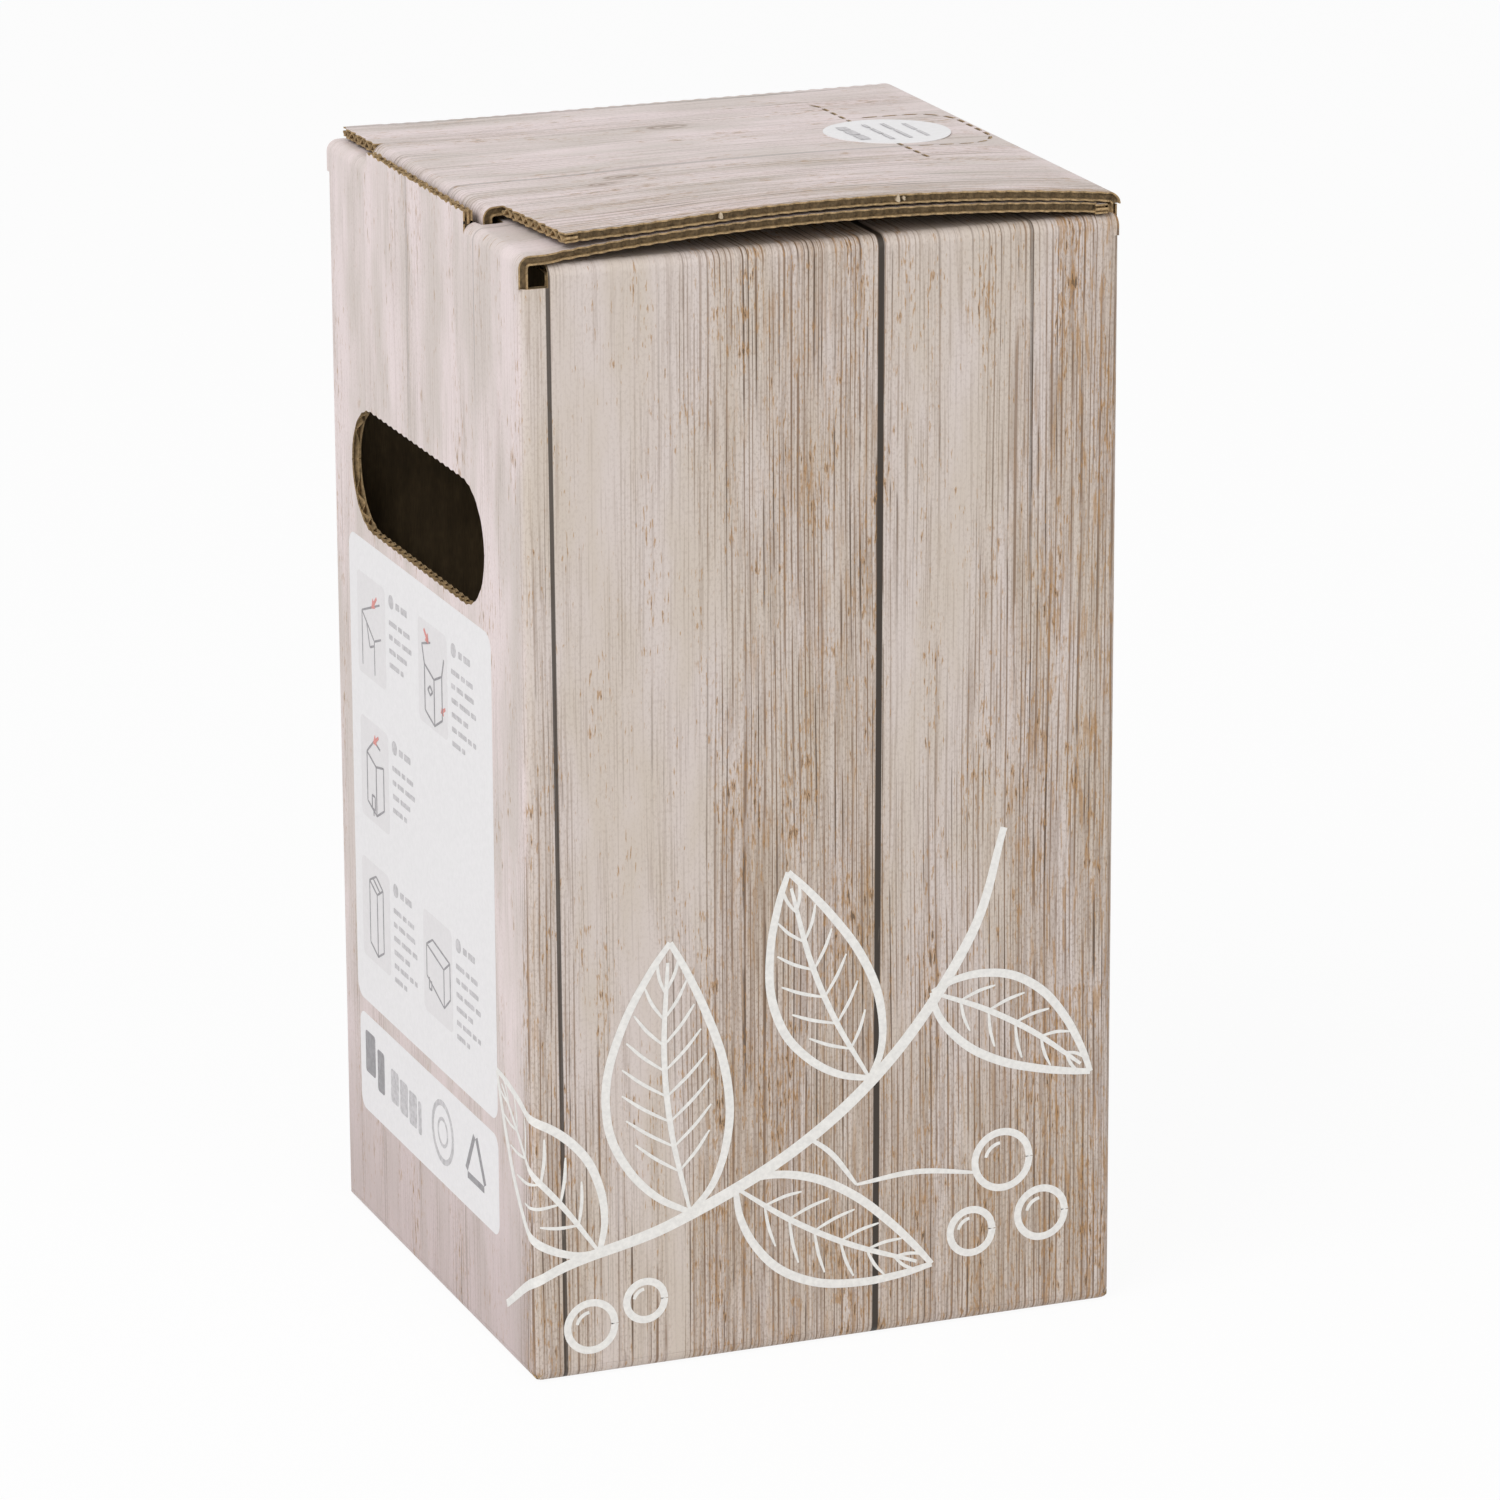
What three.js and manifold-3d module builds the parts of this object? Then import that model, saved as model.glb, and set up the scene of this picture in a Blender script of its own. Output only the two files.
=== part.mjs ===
// Carton for a three litre bag in box: one folded corrugated blank, its top flap a lid with a tuck tab.
// Millimetres, +Z up, origin on the floor under the middle of the carton, +X towards the lid's hinge.
import * as THREE from "three";
import { mergeVertices } from "three/addons/utils/BufferGeometryUtils.js";
import Module from "manifold-3d";

const wasm = await Module();
wasm.setup();

// Overall size and board
const boxWidth = 130;
const boxDepth = 122;
const boxHeight = 240;
const board = 2;
const foldInside = 0.5;
const layerGap = 0.35;
const foldSteps = 6;

// Slots that part the flaps at the top corners
const cornerSlotWidth = 4;
const cornerSlotDrop = 1.8;
const panelEndInset = 0.6;
const minorEndInset = 0.5;

// Top flaps under the lid
const minorFlapReach = 32;
const minorFlapTaper = 3;
const innerFlapClearance = 0.7;

// Lip left standing on the handle panel, and the slot behind it for the tuck tab
const handlePanelShift = 5;
const lipWidth = 65;
const lipRise = 0.5;
const tabClearance = 1.3;
const slotPlay = 1.2;
const slotEndPlay = 0.8;

// Lid and tuck tab
const lidFrontInset = 0.5;
const lidBackInset = 1.5;
const lidBow = 3.7;
const lidBowFade = 1.6;
const lidBowStep = 12;
const lidCornerInset = 9.5;
const lidShoulderInset = 7.5;
const tabWidth = 69;
const tabLength = 18;
const tabLean = 1.2;
const tabCornerRadius = 9;
const hingeGap = 0.3;

// Handle hole
const handleLength = 84.5;
const handleHeight = 26.5;
const handleLevel = 171;

// Perforated tap door in the lid, and the notch for the tap's neck in the flap below it
const doorShift = 9.5;
const doorWidth = 33;
const doorLength = 22.5;
const doorEndMargin = 3;
const doorCornerRadius = 9;
const tearLineWidth = 60;
const tearLineHook = 5;
const perforationPitch = 6;
const perforationCut = 3.6;
const perforationKerf = 0.45;
const notchWidth = 31;
const notchReach = 27.5;

// Round label that seals the tap door
const labelDiameter = 27;
const labelThickness = 0.25;
const labelGap = 0.3;
const labelFromDoorLine = 3;
const labelFacets = 40;

// Glue lap at the back right corner
const lapWidth = 30;
const seamInset = 1;

// Bottom flaps
const mitre = 12;
const mitreGap = 0.4;
const bottomSlopeStart = 3.5;
const bottomInnerReach = 50;
const bottomSeam = 1;

// Levels and faces worked out from the sizes above
const foldOutside = foldInside + board;
const left = -boxWidth / 2;
const right = boxWidth / 2;
const front = -boxDepth / 2;
const back = boxDepth / 2;
const innerFlapTop = boxHeight - board - layerGap;
const minorFlapTop = innerFlapTop - board - layerGap;
const slotLevel = minorFlapTop - foldOutside - cornerSlotDrop;
const bottomSlotLevel = foldOutside;
const lapFace = back - board;
const tabFace = left + board + tabClearance;
const lidHingeLevel = boxHeight - foldOutside;
const doorLine = right - doorEndMargin - doorLength;
const cutMargin = 1;

// Axes that a flat section is set up in before it is extruded
const alongX = new THREE.Matrix4().set(0, 0, 1, 0, 1, 0, 0, 0, 0, 1, 0, 0, 0, 0, 0, 1);
const alongY = new THREE.Matrix4().set(1, 0, 0, 0, 0, 0, -1, 0, 0, 1, 0, 0, 0, 0, 0, 1);

// Closed solid from a geometry whose shared corners are merged
function solid(geometry) {
  geometry.deleteAttribute("normal");
  geometry.deleteAttribute("uv");
  const merged = mergeVertices(geometry, 1e-5);
  const mesh = new wasm.Mesh({
    numProp: 3,
    vertProperties: new Float32Array(merged.attributes.position.array),
    triVerts: new Uint32Array(merged.index.array),
  });
  return new wasm.Manifold(mesh);
}

// Section in the X-Z plane carried along Y from one level to another
function extrudeAlongY(shape, from, to, steps = 1) {
  const geometry = new THREE.ExtrudeGeometry(shape, {
    depth: to - from,
    steps,
    bevelEnabled: false,
    curveSegments: foldSteps,
  });
  return geometry.applyMatrix4(alongY).translate(0, to, 0);
}

// Section in the Y-Z plane carried along X
function extrudeAlongX(shape, from, to) {
  const geometry = new THREE.ExtrudeGeometry(shape, {
    depth: to - from,
    bevelEnabled: false,
    curveSegments: foldSteps * 2,
  });
  return geometry.applyMatrix4(alongX).translate(from, 0, 0);
}

// Plan outline carried up along Z
function extrudeUp(shape, from, to) {
  const geometry = new THREE.ExtrudeGeometry(shape, {
    depth: to - from,
    bevelEnabled: false,
    curveSegments: foldSteps,
  });
  return geometry.translate(0, 0, from);
}

function outline(corners) {
  return new THREE.Shape(corners.map(([x, y]) => new THREE.Vector2(x, y)));
}

// Section of a folded sheet. The corners run along its printed face and side says where the board
// lies from it: 1 to the left of the walk, -1 to the right. Every bend becomes a pair of arcs.
function sheetSection(corners, side) {
  const points = corners.map(([x, y]) => new THREE.Vector2(x, y));
  const printed = [];
  const bare = [];
  const leftOf = (direction) => new THREE.Vector2(-direction.y, direction.x);
  points.forEach((corner, i) => {
    const before = i > 0 ? corner.clone().sub(points[i - 1]).normalize() : null;
    const after = i < points.length - 1 ? points[i + 1].clone().sub(corner).normalize() : null;
    if (!before || !after) {
      const across = leftOf(before ?? after).multiplyScalar(side * board);
      printed.push(corner.clone());
      bare.push(corner.clone().add(across));
      return;
    }
    const turn = Math.sign(before.cross(after));
    const angle = Math.acos(THREE.MathUtils.clamp(before.dot(after), -1, 1));
    const printedRadius = turn === side ? foldOutside : foldInside;
    const bareRadius = turn === side ? foldInside : foldOutside;
    const start = corner.clone().addScaledVector(before, -printedRadius * Math.tan(angle / 2));
    const centre = start.clone().addScaledVector(leftOf(before), turn * printedRadius);
    const steps = Math.max(2, Math.round((foldSteps * angle) / (Math.PI / 2)));
    const first = start.clone().sub(centre).angle();
    for (let k = 0; k <= steps; k++) {
      const swept = first + (turn * angle * k) / steps;
      const spoke = new THREE.Vector2(Math.cos(swept), Math.sin(swept));
      printed.push(centre.clone().addScaledVector(spoke, printedRadius));
      bare.push(centre.clone().addScaledVector(spoke, bareRadius));
    }
  });
  return [...printed, ...bare.reverse()];
}

// Extra points on long straight stretches, so that the sheet can be curved afterwards
function divided(points, longest) {
  return points.flatMap((point, i) => {
    const next = points[(i + 1) % points.length];
    const count = Math.max(1, Math.ceil(point.distanceTo(next) / longest));
    return Array.from({ length: count }, (_, k) => point.clone().lerp(next, k / count));
  });
}

// Outer outline of the wall tube, with the open edge of the back panel at the glued corner
function tubeOutline() {
  const shape = new THREE.Shape();
  const r = foldOutside;
  shape.moveTo(left + r, front);
  shape.lineTo(right - r, front);
  shape.absarc(right - r, front + r, r, -Math.PI / 2, 0, false);
  shape.lineTo(right, lapFace - r);
  shape.absarc(right - r, lapFace - r, r, 0, Math.PI / 2, false);
  shape.lineTo(right - seamInset, lapFace);
  shape.lineTo(right - seamInset, back);
  shape.lineTo(left + r, back);
  shape.absarc(left + r, back - r, r, Math.PI / 2, Math.PI, false);
  shape.lineTo(left, front + r);
  shape.absarc(left + r, front + r, r, Math.PI, Math.PI * 1.5, false);
  return shape;
}

// Inner outline of the tube, stepped in by the glue lap
function tubeInside() {
  const path = new THREE.Path();
  const r = foldInside;
  const [west, east, south, north] = [left + board, right - board, front + board, back - board];
  path.moveTo(west + r, south);
  path.lineTo(east - r, south);
  path.absarc(east - r, south + r, r, -Math.PI / 2, 0, false);
  path.lineTo(east, lapFace - board - r);
  path.absarc(east - r, lapFace - board - r, r, 0, Math.PI / 2, false);
  path.lineTo(right - lapWidth, lapFace - board);
  path.lineTo(right - lapWidth, north);
  path.lineTo(west + r, north);
  path.absarc(west + r, north - r, r, Math.PI / 2, Math.PI, false);
  path.lineTo(west, south + r);
  path.absarc(west + r, south + r, r, Math.PI, Math.PI * 1.5, false);
  return path;
}

function wallTube() {
  const shape = tubeOutline();
  shape.holes.push(tubeInside());
  return solid(extrudeUp(shape, bottomSlotLevel, slotLevel));
}

// Front or back panel's top: a rounded fold and a short tapered flap, turned in first
function minorTopFlap(face, inward) {
  const section = sheetSection(
    [[face, slotLevel], [face, minorFlapTop], [face + inward * minorFlapReach, minorFlapTop]],
    -inward,
  );
  const start = left + board + cornerSlotWidth;
  const end = right - minorEndInset;
  const reach = face + inward * minorFlapReach;
  const plan = outline([
    [start, face],
    [end, face],
    [end - minorFlapTaper, reach],
    [start + minorFlapTaper, reach],
  ]);
  const strip = solid(extrudeAlongX(new THREE.Shape(section), start, end));
  return strip.intersect(solid(extrudeUp(plan, slotLevel, minorFlapTop)));
}

// Handle panel's top: its fold and the flap that closes the whole mouth under the lid
function innerTopFlap() {
  const end = right - board - innerFlapClearance;
  const section = sheetSection([[left, slotLevel], [left, innerFlapTop], [end, innerFlapTop]], -1);
  const shape = new THREE.Shape(section);
  return solid(extrudeAlongY(shape, front + panelEndInset, back - panelEndInset));
}

// The hinge panel ends in a plain edge below the lid's fold
function hingePanelTop() {
  const level = lidHingeLevel - hingeGap;
  const shape = outline([
    [right - board, slotLevel],
    [right, slotLevel],
    [right, level],
    [right - board, level],
  ]);
  const inset = board + layerGap;
  return solid(extrudeAlongY(shape, front + inset, back - inset));
}

// Lip of the handle panel that stays upright where the flap is cut round it
function standingLip() {
  const shape = outline([
    [left, slotLevel],
    [left + board, slotLevel],
    [left + board, boxHeight + lipRise],
    [left, boxHeight + lipRise],
  ]);
  return solid(extrudeAlongY(shape, handlePanelShift - lipWidth / 2, handlePanelShift + lipWidth / 2));
}

// Openings of the flap: the piece that the lip came from and the longer slot that takes the tab
function lipCutout() {
  const low = innerFlapTop - foldOutside;
  const far = tabFace + board + tabLean + slotPlay;
  const cut = (from, to, halfWidth) => {
    const shape = outline([[from, low], [to, low], [to, boxHeight], [from, boxHeight]]);
    return solid(extrudeAlongY(shape, handlePanelShift - halfWidth, handlePanelShift + halfWidth));
  };
  const behindFold = left + foldOutside + layerGap;
  return cut(left - cutMargin, far, lipWidth / 2).add(cut(behindFold, far, tabWidth / 2 + slotEndPlay));
}

// Round-ended notch in the flap's free end, where the tap's neck is held
function tapNotch() {
  const radius = notchWidth / 2;
  const centre = right - notchReach + radius;
  const shape = new THREE.Shape();
  shape.moveTo(right - board, doorShift - radius);
  shape.lineTo(right - board, doorShift + radius);
  shape.lineTo(centre, doorShift + radius);
  shape.absarc(centre, doorShift, radius, Math.PI / 2, Math.PI * 1.5, false);
  return solid(extrudeUp(shape, innerFlapTop - board - layerGap / 2, innerFlapTop + layerGap / 2));
}

// Long hole with round ends for the carrying hand
function handleHole() {
  const r = handleHeight / 2;
  const half = handleLength / 2 - r;
  const shape = new THREE.Shape();
  shape.absarc(handlePanelShift + half, handleLevel, r, -Math.PI / 2, Math.PI / 2, false);
  shape.absarc(handlePanelShift - half, handleLevel, r, Math.PI / 2, Math.PI * 1.5, false);
  return solid(extrudeAlongX(shape, left - cutMargin, left + board + cutMargin));
}

// Outer bottom flap of a side panel, cut at 45 degrees towards the corners
function outerBottomFlap() {
  const section = sheetSection([[-bottomSeam / 2, 0], [left, 0], [left, bottomSlotLevel]], -1);
  const strip = solid(extrudeAlongY(new THREE.Shape(section), front, back));
  const plan = outline([
    [left, front + mitreGap],
    [left + mitre, front + mitre + mitreGap],
    [0, front + mitre + mitreGap],
    [0, back - mitre - mitreGap],
    [left + mitre, back - mitre - mitreGap],
    [left, back - mitreGap],
  ]);
  return strip.intersect(solid(extrudeUp(plan, 0, bottomSlotLevel)));
}

// Inner bottom flap of the front panel: it climbs from its fold to lie on the outer flaps
function innerBottomFlap() {
  const lift = board + layerGap;
  const section = sheetSection(
    [
      [front + bottomInnerReach, lift],
      [front + mitre, lift],
      [front + bottomSlopeStart, 0],
      [front, 0],
      [front, bottomSlotLevel],
    ],
    -1,
  );
  const strip = solid(extrudeAlongX(new THREE.Shape(section), left, right));
  const plan = outline([
    [left + mitreGap, front],
    [right - mitreGap, front],
    [right - mitre - mitreGap, front + mitre],
    [right - mitre - mitreGap, front + bottomInnerReach],
    [left + mitre + mitreGap, front + bottomInnerReach],
    [left + mitre + mitreGap, front + mitre],
  ]);
  return strip.intersect(solid(extrudeUp(plan, 0, lift + board)));
}

// Rise of the lid's curled front: highest in the middle of its front edge, none along the back
function lidRise(x, y) {
  const start = tabFace + foldOutside;
  const across = THREE.MathUtils.clamp((x - start) / (right - foldOutside - start), 0, 1);
  const forward = THREE.MathUtils.clamp((back - y) / boxDepth, 0, 1);
  return lidBow * (1 - (2 * across - 1) ** 2) * forward ** lidBowFade;
}

function curled(geometry) {
  const position = geometry.attributes.position;
  for (let i = 0; i < position.count; i++) {
    position.setZ(i, position.getZ(i) + lidRise(position.getX(i), position.getY(i)));
  }
  return geometry;
}

// The lid's fold, top and tuck tab as one bent strip
function lidStrip() {
  const section = sheetSection(
    [
      [right, lidHingeLevel],
      [right, boxHeight],
      [tabFace, boxHeight],
      [tabFace + tabLean, boxHeight - tabLength],
    ],
    1,
  );
  const shape = new THREE.Shape(divided(section, lidBowStep));
  const steps = Math.ceil(boxDepth / lidBowStep);
  return solid(curled(extrudeAlongY(shape, front + lidFrontInset, back - lidBackInset, steps)));
}

// Corner beside the tuck tab, cut back from the handle panel
function lidCornerCut(face, outward) {
  const shoulder = handlePanelShift + (outward * tabWidth) / 2;
  const plan = outline([
    [left - cutMargin, face + outward * cutMargin],
    [left + lidCornerInset, face + outward * cutMargin],
    [left + lidShoulderInset, shoulder],
    [left - cutMargin, shoulder],
  ]);
  return solid(extrudeUp(plan, boxHeight - tabLength - cutMargin, boxHeight + lidBow + cutMargin));
}

// Rounded lower corner of the tuck tab
function tabCornerCut(outward) {
  const edge = handlePanelShift + (outward * tabWidth) / 2;
  const foot = boxHeight - tabLength;
  const r = tabCornerRadius;
  const shape = new THREE.Shape();
  shape.moveTo(edge - outward * r, foot - cutMargin);
  shape.lineTo(edge + outward * cutMargin, foot - cutMargin);
  shape.lineTo(edge + outward * cutMargin, foot + r);
  shape.lineTo(edge, foot + r);
  const begin = outward > 0 ? 0 : Math.PI;
  shape.absarc(edge - outward * r, foot + r, r, begin, Math.PI * 1.5, outward > 0);
  return solid(extrudeAlongX(shape, left, tabFace + tabLean + board + cutMargin));
}

// Short cuts through the lid, spaced evenly along a path
function perforation(path) {
  const count = Math.floor(path.getLength() / perforationPitch);
  const cuts = [];
  for (let i = 0; i < count; i++) {
    const place = (i + 0.5) / count;
    const at = path.getPointAt(place);
    const tangent = path.getTangentAt(place);
    const depth = board + lidBow;
    const cut = new THREE.BoxGeometry(perforationCut, perforationKerf, depth * 2);
    cut.rotateZ(Math.atan2(tangent.y, tangent.x)).translate(at.x, at.y, boxHeight);
    cuts.push(solid(cut));
  }
  return cuts;
}

// Tongue of the tap door, open towards the tear line
function doorPath() {
  const near = doorShift - doorWidth / 2;
  const far = doorShift + doorWidth / 2;
  const end = doorLine + doorLength;
  const r = doorCornerRadius;
  const path = new THREE.Path();
  path.moveTo(doorLine + perforationPitch / 2, near);
  path.lineTo(end - r, near);
  path.absarc(end - r, near + r, r, -Math.PI / 2, 0, false);
  path.lineTo(end, far - r);
  path.absarc(end - r, far - r, r, 0, Math.PI / 2, false);
  path.lineTo(doorLine + perforationPitch / 2, far);
  return path;
}

// Line across the door's root, hooked at its rear end
function tearLinePath() {
  const path = new THREE.Path();
  const rear = doorShift + tearLineWidth / 2;
  path.moveTo(doorLine, doorShift - tearLineWidth / 2);
  path.lineTo(doorLine, rear);
  path.absarc(doorLine - tearLineHook, rear, tearLineHook, 0, Math.PI / 2, false);
  return path;
}

// Round label, following the lid's curve just above it
function openingLabel() {
  const radius = labelDiameter / 2;
  const disc = new THREE.CylinderGeometry(radius, radius, labelThickness, labelFacets);
  disc.rotateX(Math.PI / 2);
  const level = boxHeight + labelGap + labelThickness / 2;
  disc.translate(doorLine + labelFromDoorLine, doorShift, level);
  return solid(curled(disc));
}

function buildCarton() {
  const outside = solid(extrudeUp(tubeOutline(), 0, innerFlapTop));
  const halfTurn = [0, 0, 180];
  const top = minorTopFlap(front, 1)
    .add(minorTopFlap(back, -1))
    .add(hingePanelTop())
    .add(innerTopFlap().intersect(outside));
  const sides = outerBottomFlap();
  const ends = innerBottomFlap();
  const bottom = sides
    .add(sides.rotate(halfTurn))
    .add(ends)
    .add(ends.rotate(halfTurn))
    .intersect(outside);
  return wallTube()
    .add(top)
    .add(bottom)
    .subtract(lipCutout())
    .add(standingLip())
    .subtract(tapNotch())
    .subtract(handleHole());
}

function buildLid() {
  let lid = lidStrip();
  lid = lid.subtract(lidCornerCut(front, -1)).subtract(lidCornerCut(back, 1));
  lid = lid.subtract(tabCornerCut(-1)).subtract(tabCornerCut(1));
  for (const cut of [...perforation(doorPath()), ...perforation(tearLinePath())]) {
    lid = lid.subtract(cut);
  }
  return lid;
}

// Named mesh with its own material
function namedMesh(name, body, colour, roughness) {
  const { vertProperties, triVerts } = body.getMesh();
  const geometry = new THREE.BufferGeometry();
  geometry.setAttribute("position", new THREE.BufferAttribute(vertProperties, 3));
  geometry.setIndex(new THREE.BufferAttribute(triVerts, 1));
  geometry.computeVertexNormals();
  const material = new THREE.MeshStandardMaterial({ color: colour, roughness, metalness: 0 });
  const mesh = new THREE.Mesh(geometry, material);
  mesh.name = name;
  return mesh;
}

const carton = new THREE.Group();
carton.name = "bag_in_box_carton";
carton.add(namedMesh("carton", buildCarton(), 0xd5ccc6, 0.62));
carton.add(namedMesh("lid", buildLid(), 0xd3c8c6, 0.62));
carton.add(namedMesh("opening_label", openingLabel(), 0xe6e4e6, 0.45));

export default carton;
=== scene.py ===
"""Looks of a corrugated carton for a three litre bag in box, printed with pale wood planks."""

import math
from functools import partial
from types import SimpleNamespace

import bpy
import bmesh
import numpy as np
from bpy.props import FloatProperty, FloatVectorProperty, PointerProperty
from mathutils import Matrix, Vector


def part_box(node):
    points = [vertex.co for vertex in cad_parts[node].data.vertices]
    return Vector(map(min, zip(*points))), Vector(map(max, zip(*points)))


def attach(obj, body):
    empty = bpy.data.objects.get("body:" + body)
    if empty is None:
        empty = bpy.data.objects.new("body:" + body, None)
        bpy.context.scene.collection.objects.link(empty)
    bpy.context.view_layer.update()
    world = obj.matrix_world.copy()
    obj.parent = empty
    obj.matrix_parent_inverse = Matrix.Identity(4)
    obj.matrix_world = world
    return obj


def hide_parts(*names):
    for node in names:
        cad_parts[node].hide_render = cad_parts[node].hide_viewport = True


bl_info = {
    "name": "Bag in box carton",
    "version": (1, 0, 0),
    "blender": (4, 5, 0),
    "location": "View3D > Sidebar > Carton",
    "description": "Builds the printed board, folds, cut edges and seal of a bag in box carton",
    "category": "Add Mesh",
}

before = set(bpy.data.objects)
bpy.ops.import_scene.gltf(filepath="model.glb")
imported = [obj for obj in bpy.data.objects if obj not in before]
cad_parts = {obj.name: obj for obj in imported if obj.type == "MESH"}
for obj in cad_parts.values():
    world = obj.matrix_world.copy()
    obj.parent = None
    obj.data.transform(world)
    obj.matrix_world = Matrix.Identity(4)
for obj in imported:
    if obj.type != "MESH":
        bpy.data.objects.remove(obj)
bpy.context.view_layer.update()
cad_low, cad_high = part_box("carton")

# Parts of a piece that take different finishes; the core takes a darker copy of the cut kraft,
# painted shade between the liners
PRINT, INSIDE, CUT, CORE = range(4)

# Inks of the instruction print
PANEL, ICON, GREY, RED, SKETCH = range(5)

# Share of the board's thickness that each of its two liners takes
LINER = 0.17

# Height of the wave between the liners to each side of their middle, as a share of the board
WAVE = 0.29

# Half of the fluting paper's own thickness, as a share of the board
FLUTING = 0.055

# Depth to which a blunt rule crushes the liners between the crests of the fluting
CRUSH = 0.3

# Settings that the nodes of a kind share
NODE_SETTINGS = {"MapRange": {"interpolation_type": "SMOOTHSTEP"}, "Mix": {"data_type": "RGBA"}}

# Thickness of a film of ink
INK_FILM = 0.03


def linear(code):
    """Linear colour of an sRGB hex code."""
    values = [int(code[i : i + 2], 16) / 255 for i in (1, 3, 5)]
    return [v / 12.92 if v <= 0.04045 else ((v + 0.055) / 1.055) ** 2.4 for v in values]


def colour_property(name, code, description):
    settings = {"subtype": "COLOR", "size": 3, "min": 0, "max": 1, "default": linear(code)}
    return FloatVectorProperty(name=name, description=description, **settings)


def length_property(name, default, description):
    return FloatProperty(name=name, description=description, unit="LENGTH", default=default)


class CartonSizes(bpy.types.PropertyGroup):
    """Sizes of the carton that a user would change."""

    width: length_property("Width", cad_high.x - cad_low.x, "Printed front from side to side")
    depth: length_property("Depth", cad_high.y - cad_low.y, "Handle side from front to back")
    height: length_property("Height", 0.240, "Floor to the lid's back edge")
    board: length_property("Board", 0.002, "Thickness of the board")
    flute_pitch: length_property("Flute pitch", 0.0033, "One wave of the fluting")
    lid_bow: length_property("Lid bow", 0.0037, "Rise of the lid's front edge in its middle")


class CartonColours(bpy.types.PropertyGroup):
    """Colours of the print, the board and the papers."""

    plank: colour_property("Plank", "#D6CAC4", "Pale ground of the printed planks")
    plank_warm: colour_property("Warm plank", "#CFC2B6", "Warmer patches of the ground")
    plank_side: colour_property("Side plank", "#ECDDDC", "Pinkish ground of handle side and lid")
    # Colour of the painted shade that darkens the handle side towards the floor
    painted_foot_shade: colour_property("Foot", "#BBA8A6", "Darker ground low on the handle side")
    grain: colour_property("Grain", "#7D6148", "Printed grain lines")
    wash: colour_property("Grain wash", "#B39D85", "Brown wash along dense grain")
    fleck: colour_property("Fleck", "#AC8250", "Ochre flecks where the paint has worn")
    gap: colour_property("Plank gap", "#32281F", "Dark gaps between planks")
    kraft: colour_property("Kraft", "#A88D66", "Unbleached liner and fluting")
    panel: colour_property("Panel", "#F0EEEF", "White printed fields")
    line: colour_property("Line art", "#EEECE8", "White printed lines")
    text_grey: colour_property("Grey ink", "#CCC9CB", "Grey printed bars and drawings")
    icon_grey: colour_property("Icon ground", "#E8E5E6", "Ground of the small drawings")
    sketch: colour_property("Sketch ink", "#9A979A", "Grey ink of the small drawings")
    nick: colour_property("Torn fibre", "#C2B097", "Pale paper fibre torn out at the nicks")
    red: colour_property("Red ink", "#DE8F88", "Small printed arrows")
    label: colour_property("Label", "#EFEDEE", "Coated label paper")
    floor: colour_property("Floor", "#F4F4F4", "Studio floor")


def carton():
    """All lengths in millimetres, with the levels and faces worked out from them."""
    given = bpy.context.scene.carton_sizes
    c = SimpleNamespace()
    c.width, c.depth, c.height = given.width * 1000, given.depth * 1000, given.height * 1000
    c.board, c.pitch, c.bow = given.board * 1000, given.flute_pitch * 1000, given.lid_bow * 1000
    # The board stands this far inside its nominal faces, so that the ink can lie on it
    c.ink = 0.12
    c.left, c.right = -c.width / 2 + c.ink, c.width / 2 - c.ink
    c.front, c.back = -c.depth / 2 + c.ink, c.depth / 2 - c.ink
    c.fold_inside, c.layer_gap = 0.5, 0.35
    c.fold = c.fold_inside + c.board
    c.flap_top = c.height - c.board - c.layer_gap
    c.minor_top = c.flap_top - c.board - c.layer_gap
    c.slot_level = c.minor_top - c.fold - 1.8
    c.hinge_level = c.height - c.fold
    c.lid_top = c.height - 0.05
    c.lap = 30.0
    c.shift, c.tab_half = 5.0, 34.5
    c.lip = (c.shift - 32.5, c.shift + 28.5)
    c.tab_face = c.left + c.board + 1.3
    c.tab_length, c.tab_lean = 18.0, 1.2
    c.lip_top = c.height + 0.45
    c.hole_half, c.hole_radius, c.hole_level = 42.25, 13.25, 171.0
    c.door_line, c.door_shift = c.right - 25.5, 9.5
    c.door_half, c.door_length, c.door_radius = 16.5, 22.5, 9.0
    c.tear_half, c.tear_hook = 30.0, 5.0
    c.notch_radius, c.notch_start = 15.5, c.right - 27.5
    # How far the open fluting is drawn in from a raw edge
    c.cell = 2.4
    # Print coordinates run along the folded blank, which is shorter than the square corner
    c.turn = c.fold * (1 - math.pi / 4)
    c.on_front = lambda x: x - c.left - c.turn
    c.on_handle = lambda y: c.turn - (y - c.front)
    c.on_hinge = lambda y: c.width - 3 * c.turn + y - c.front
    c.on_back = lambda x: 3 * c.turn - c.depth - (x - c.left)
    return c


def spread(*parts):
    """Grid of points from arrays of their coordinates, each stretched to the shape of all."""
    return np.stack(np.broadcast_arrays(*parts), -1)


def arc(radius, away):
    """Height of a circle over its diameter, at distances from the centre."""
    return np.sqrt(np.clip(radius**2 - away**2, 0, None))


def unit(vector):
    return vector / np.linalg.norm(vector)


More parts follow.
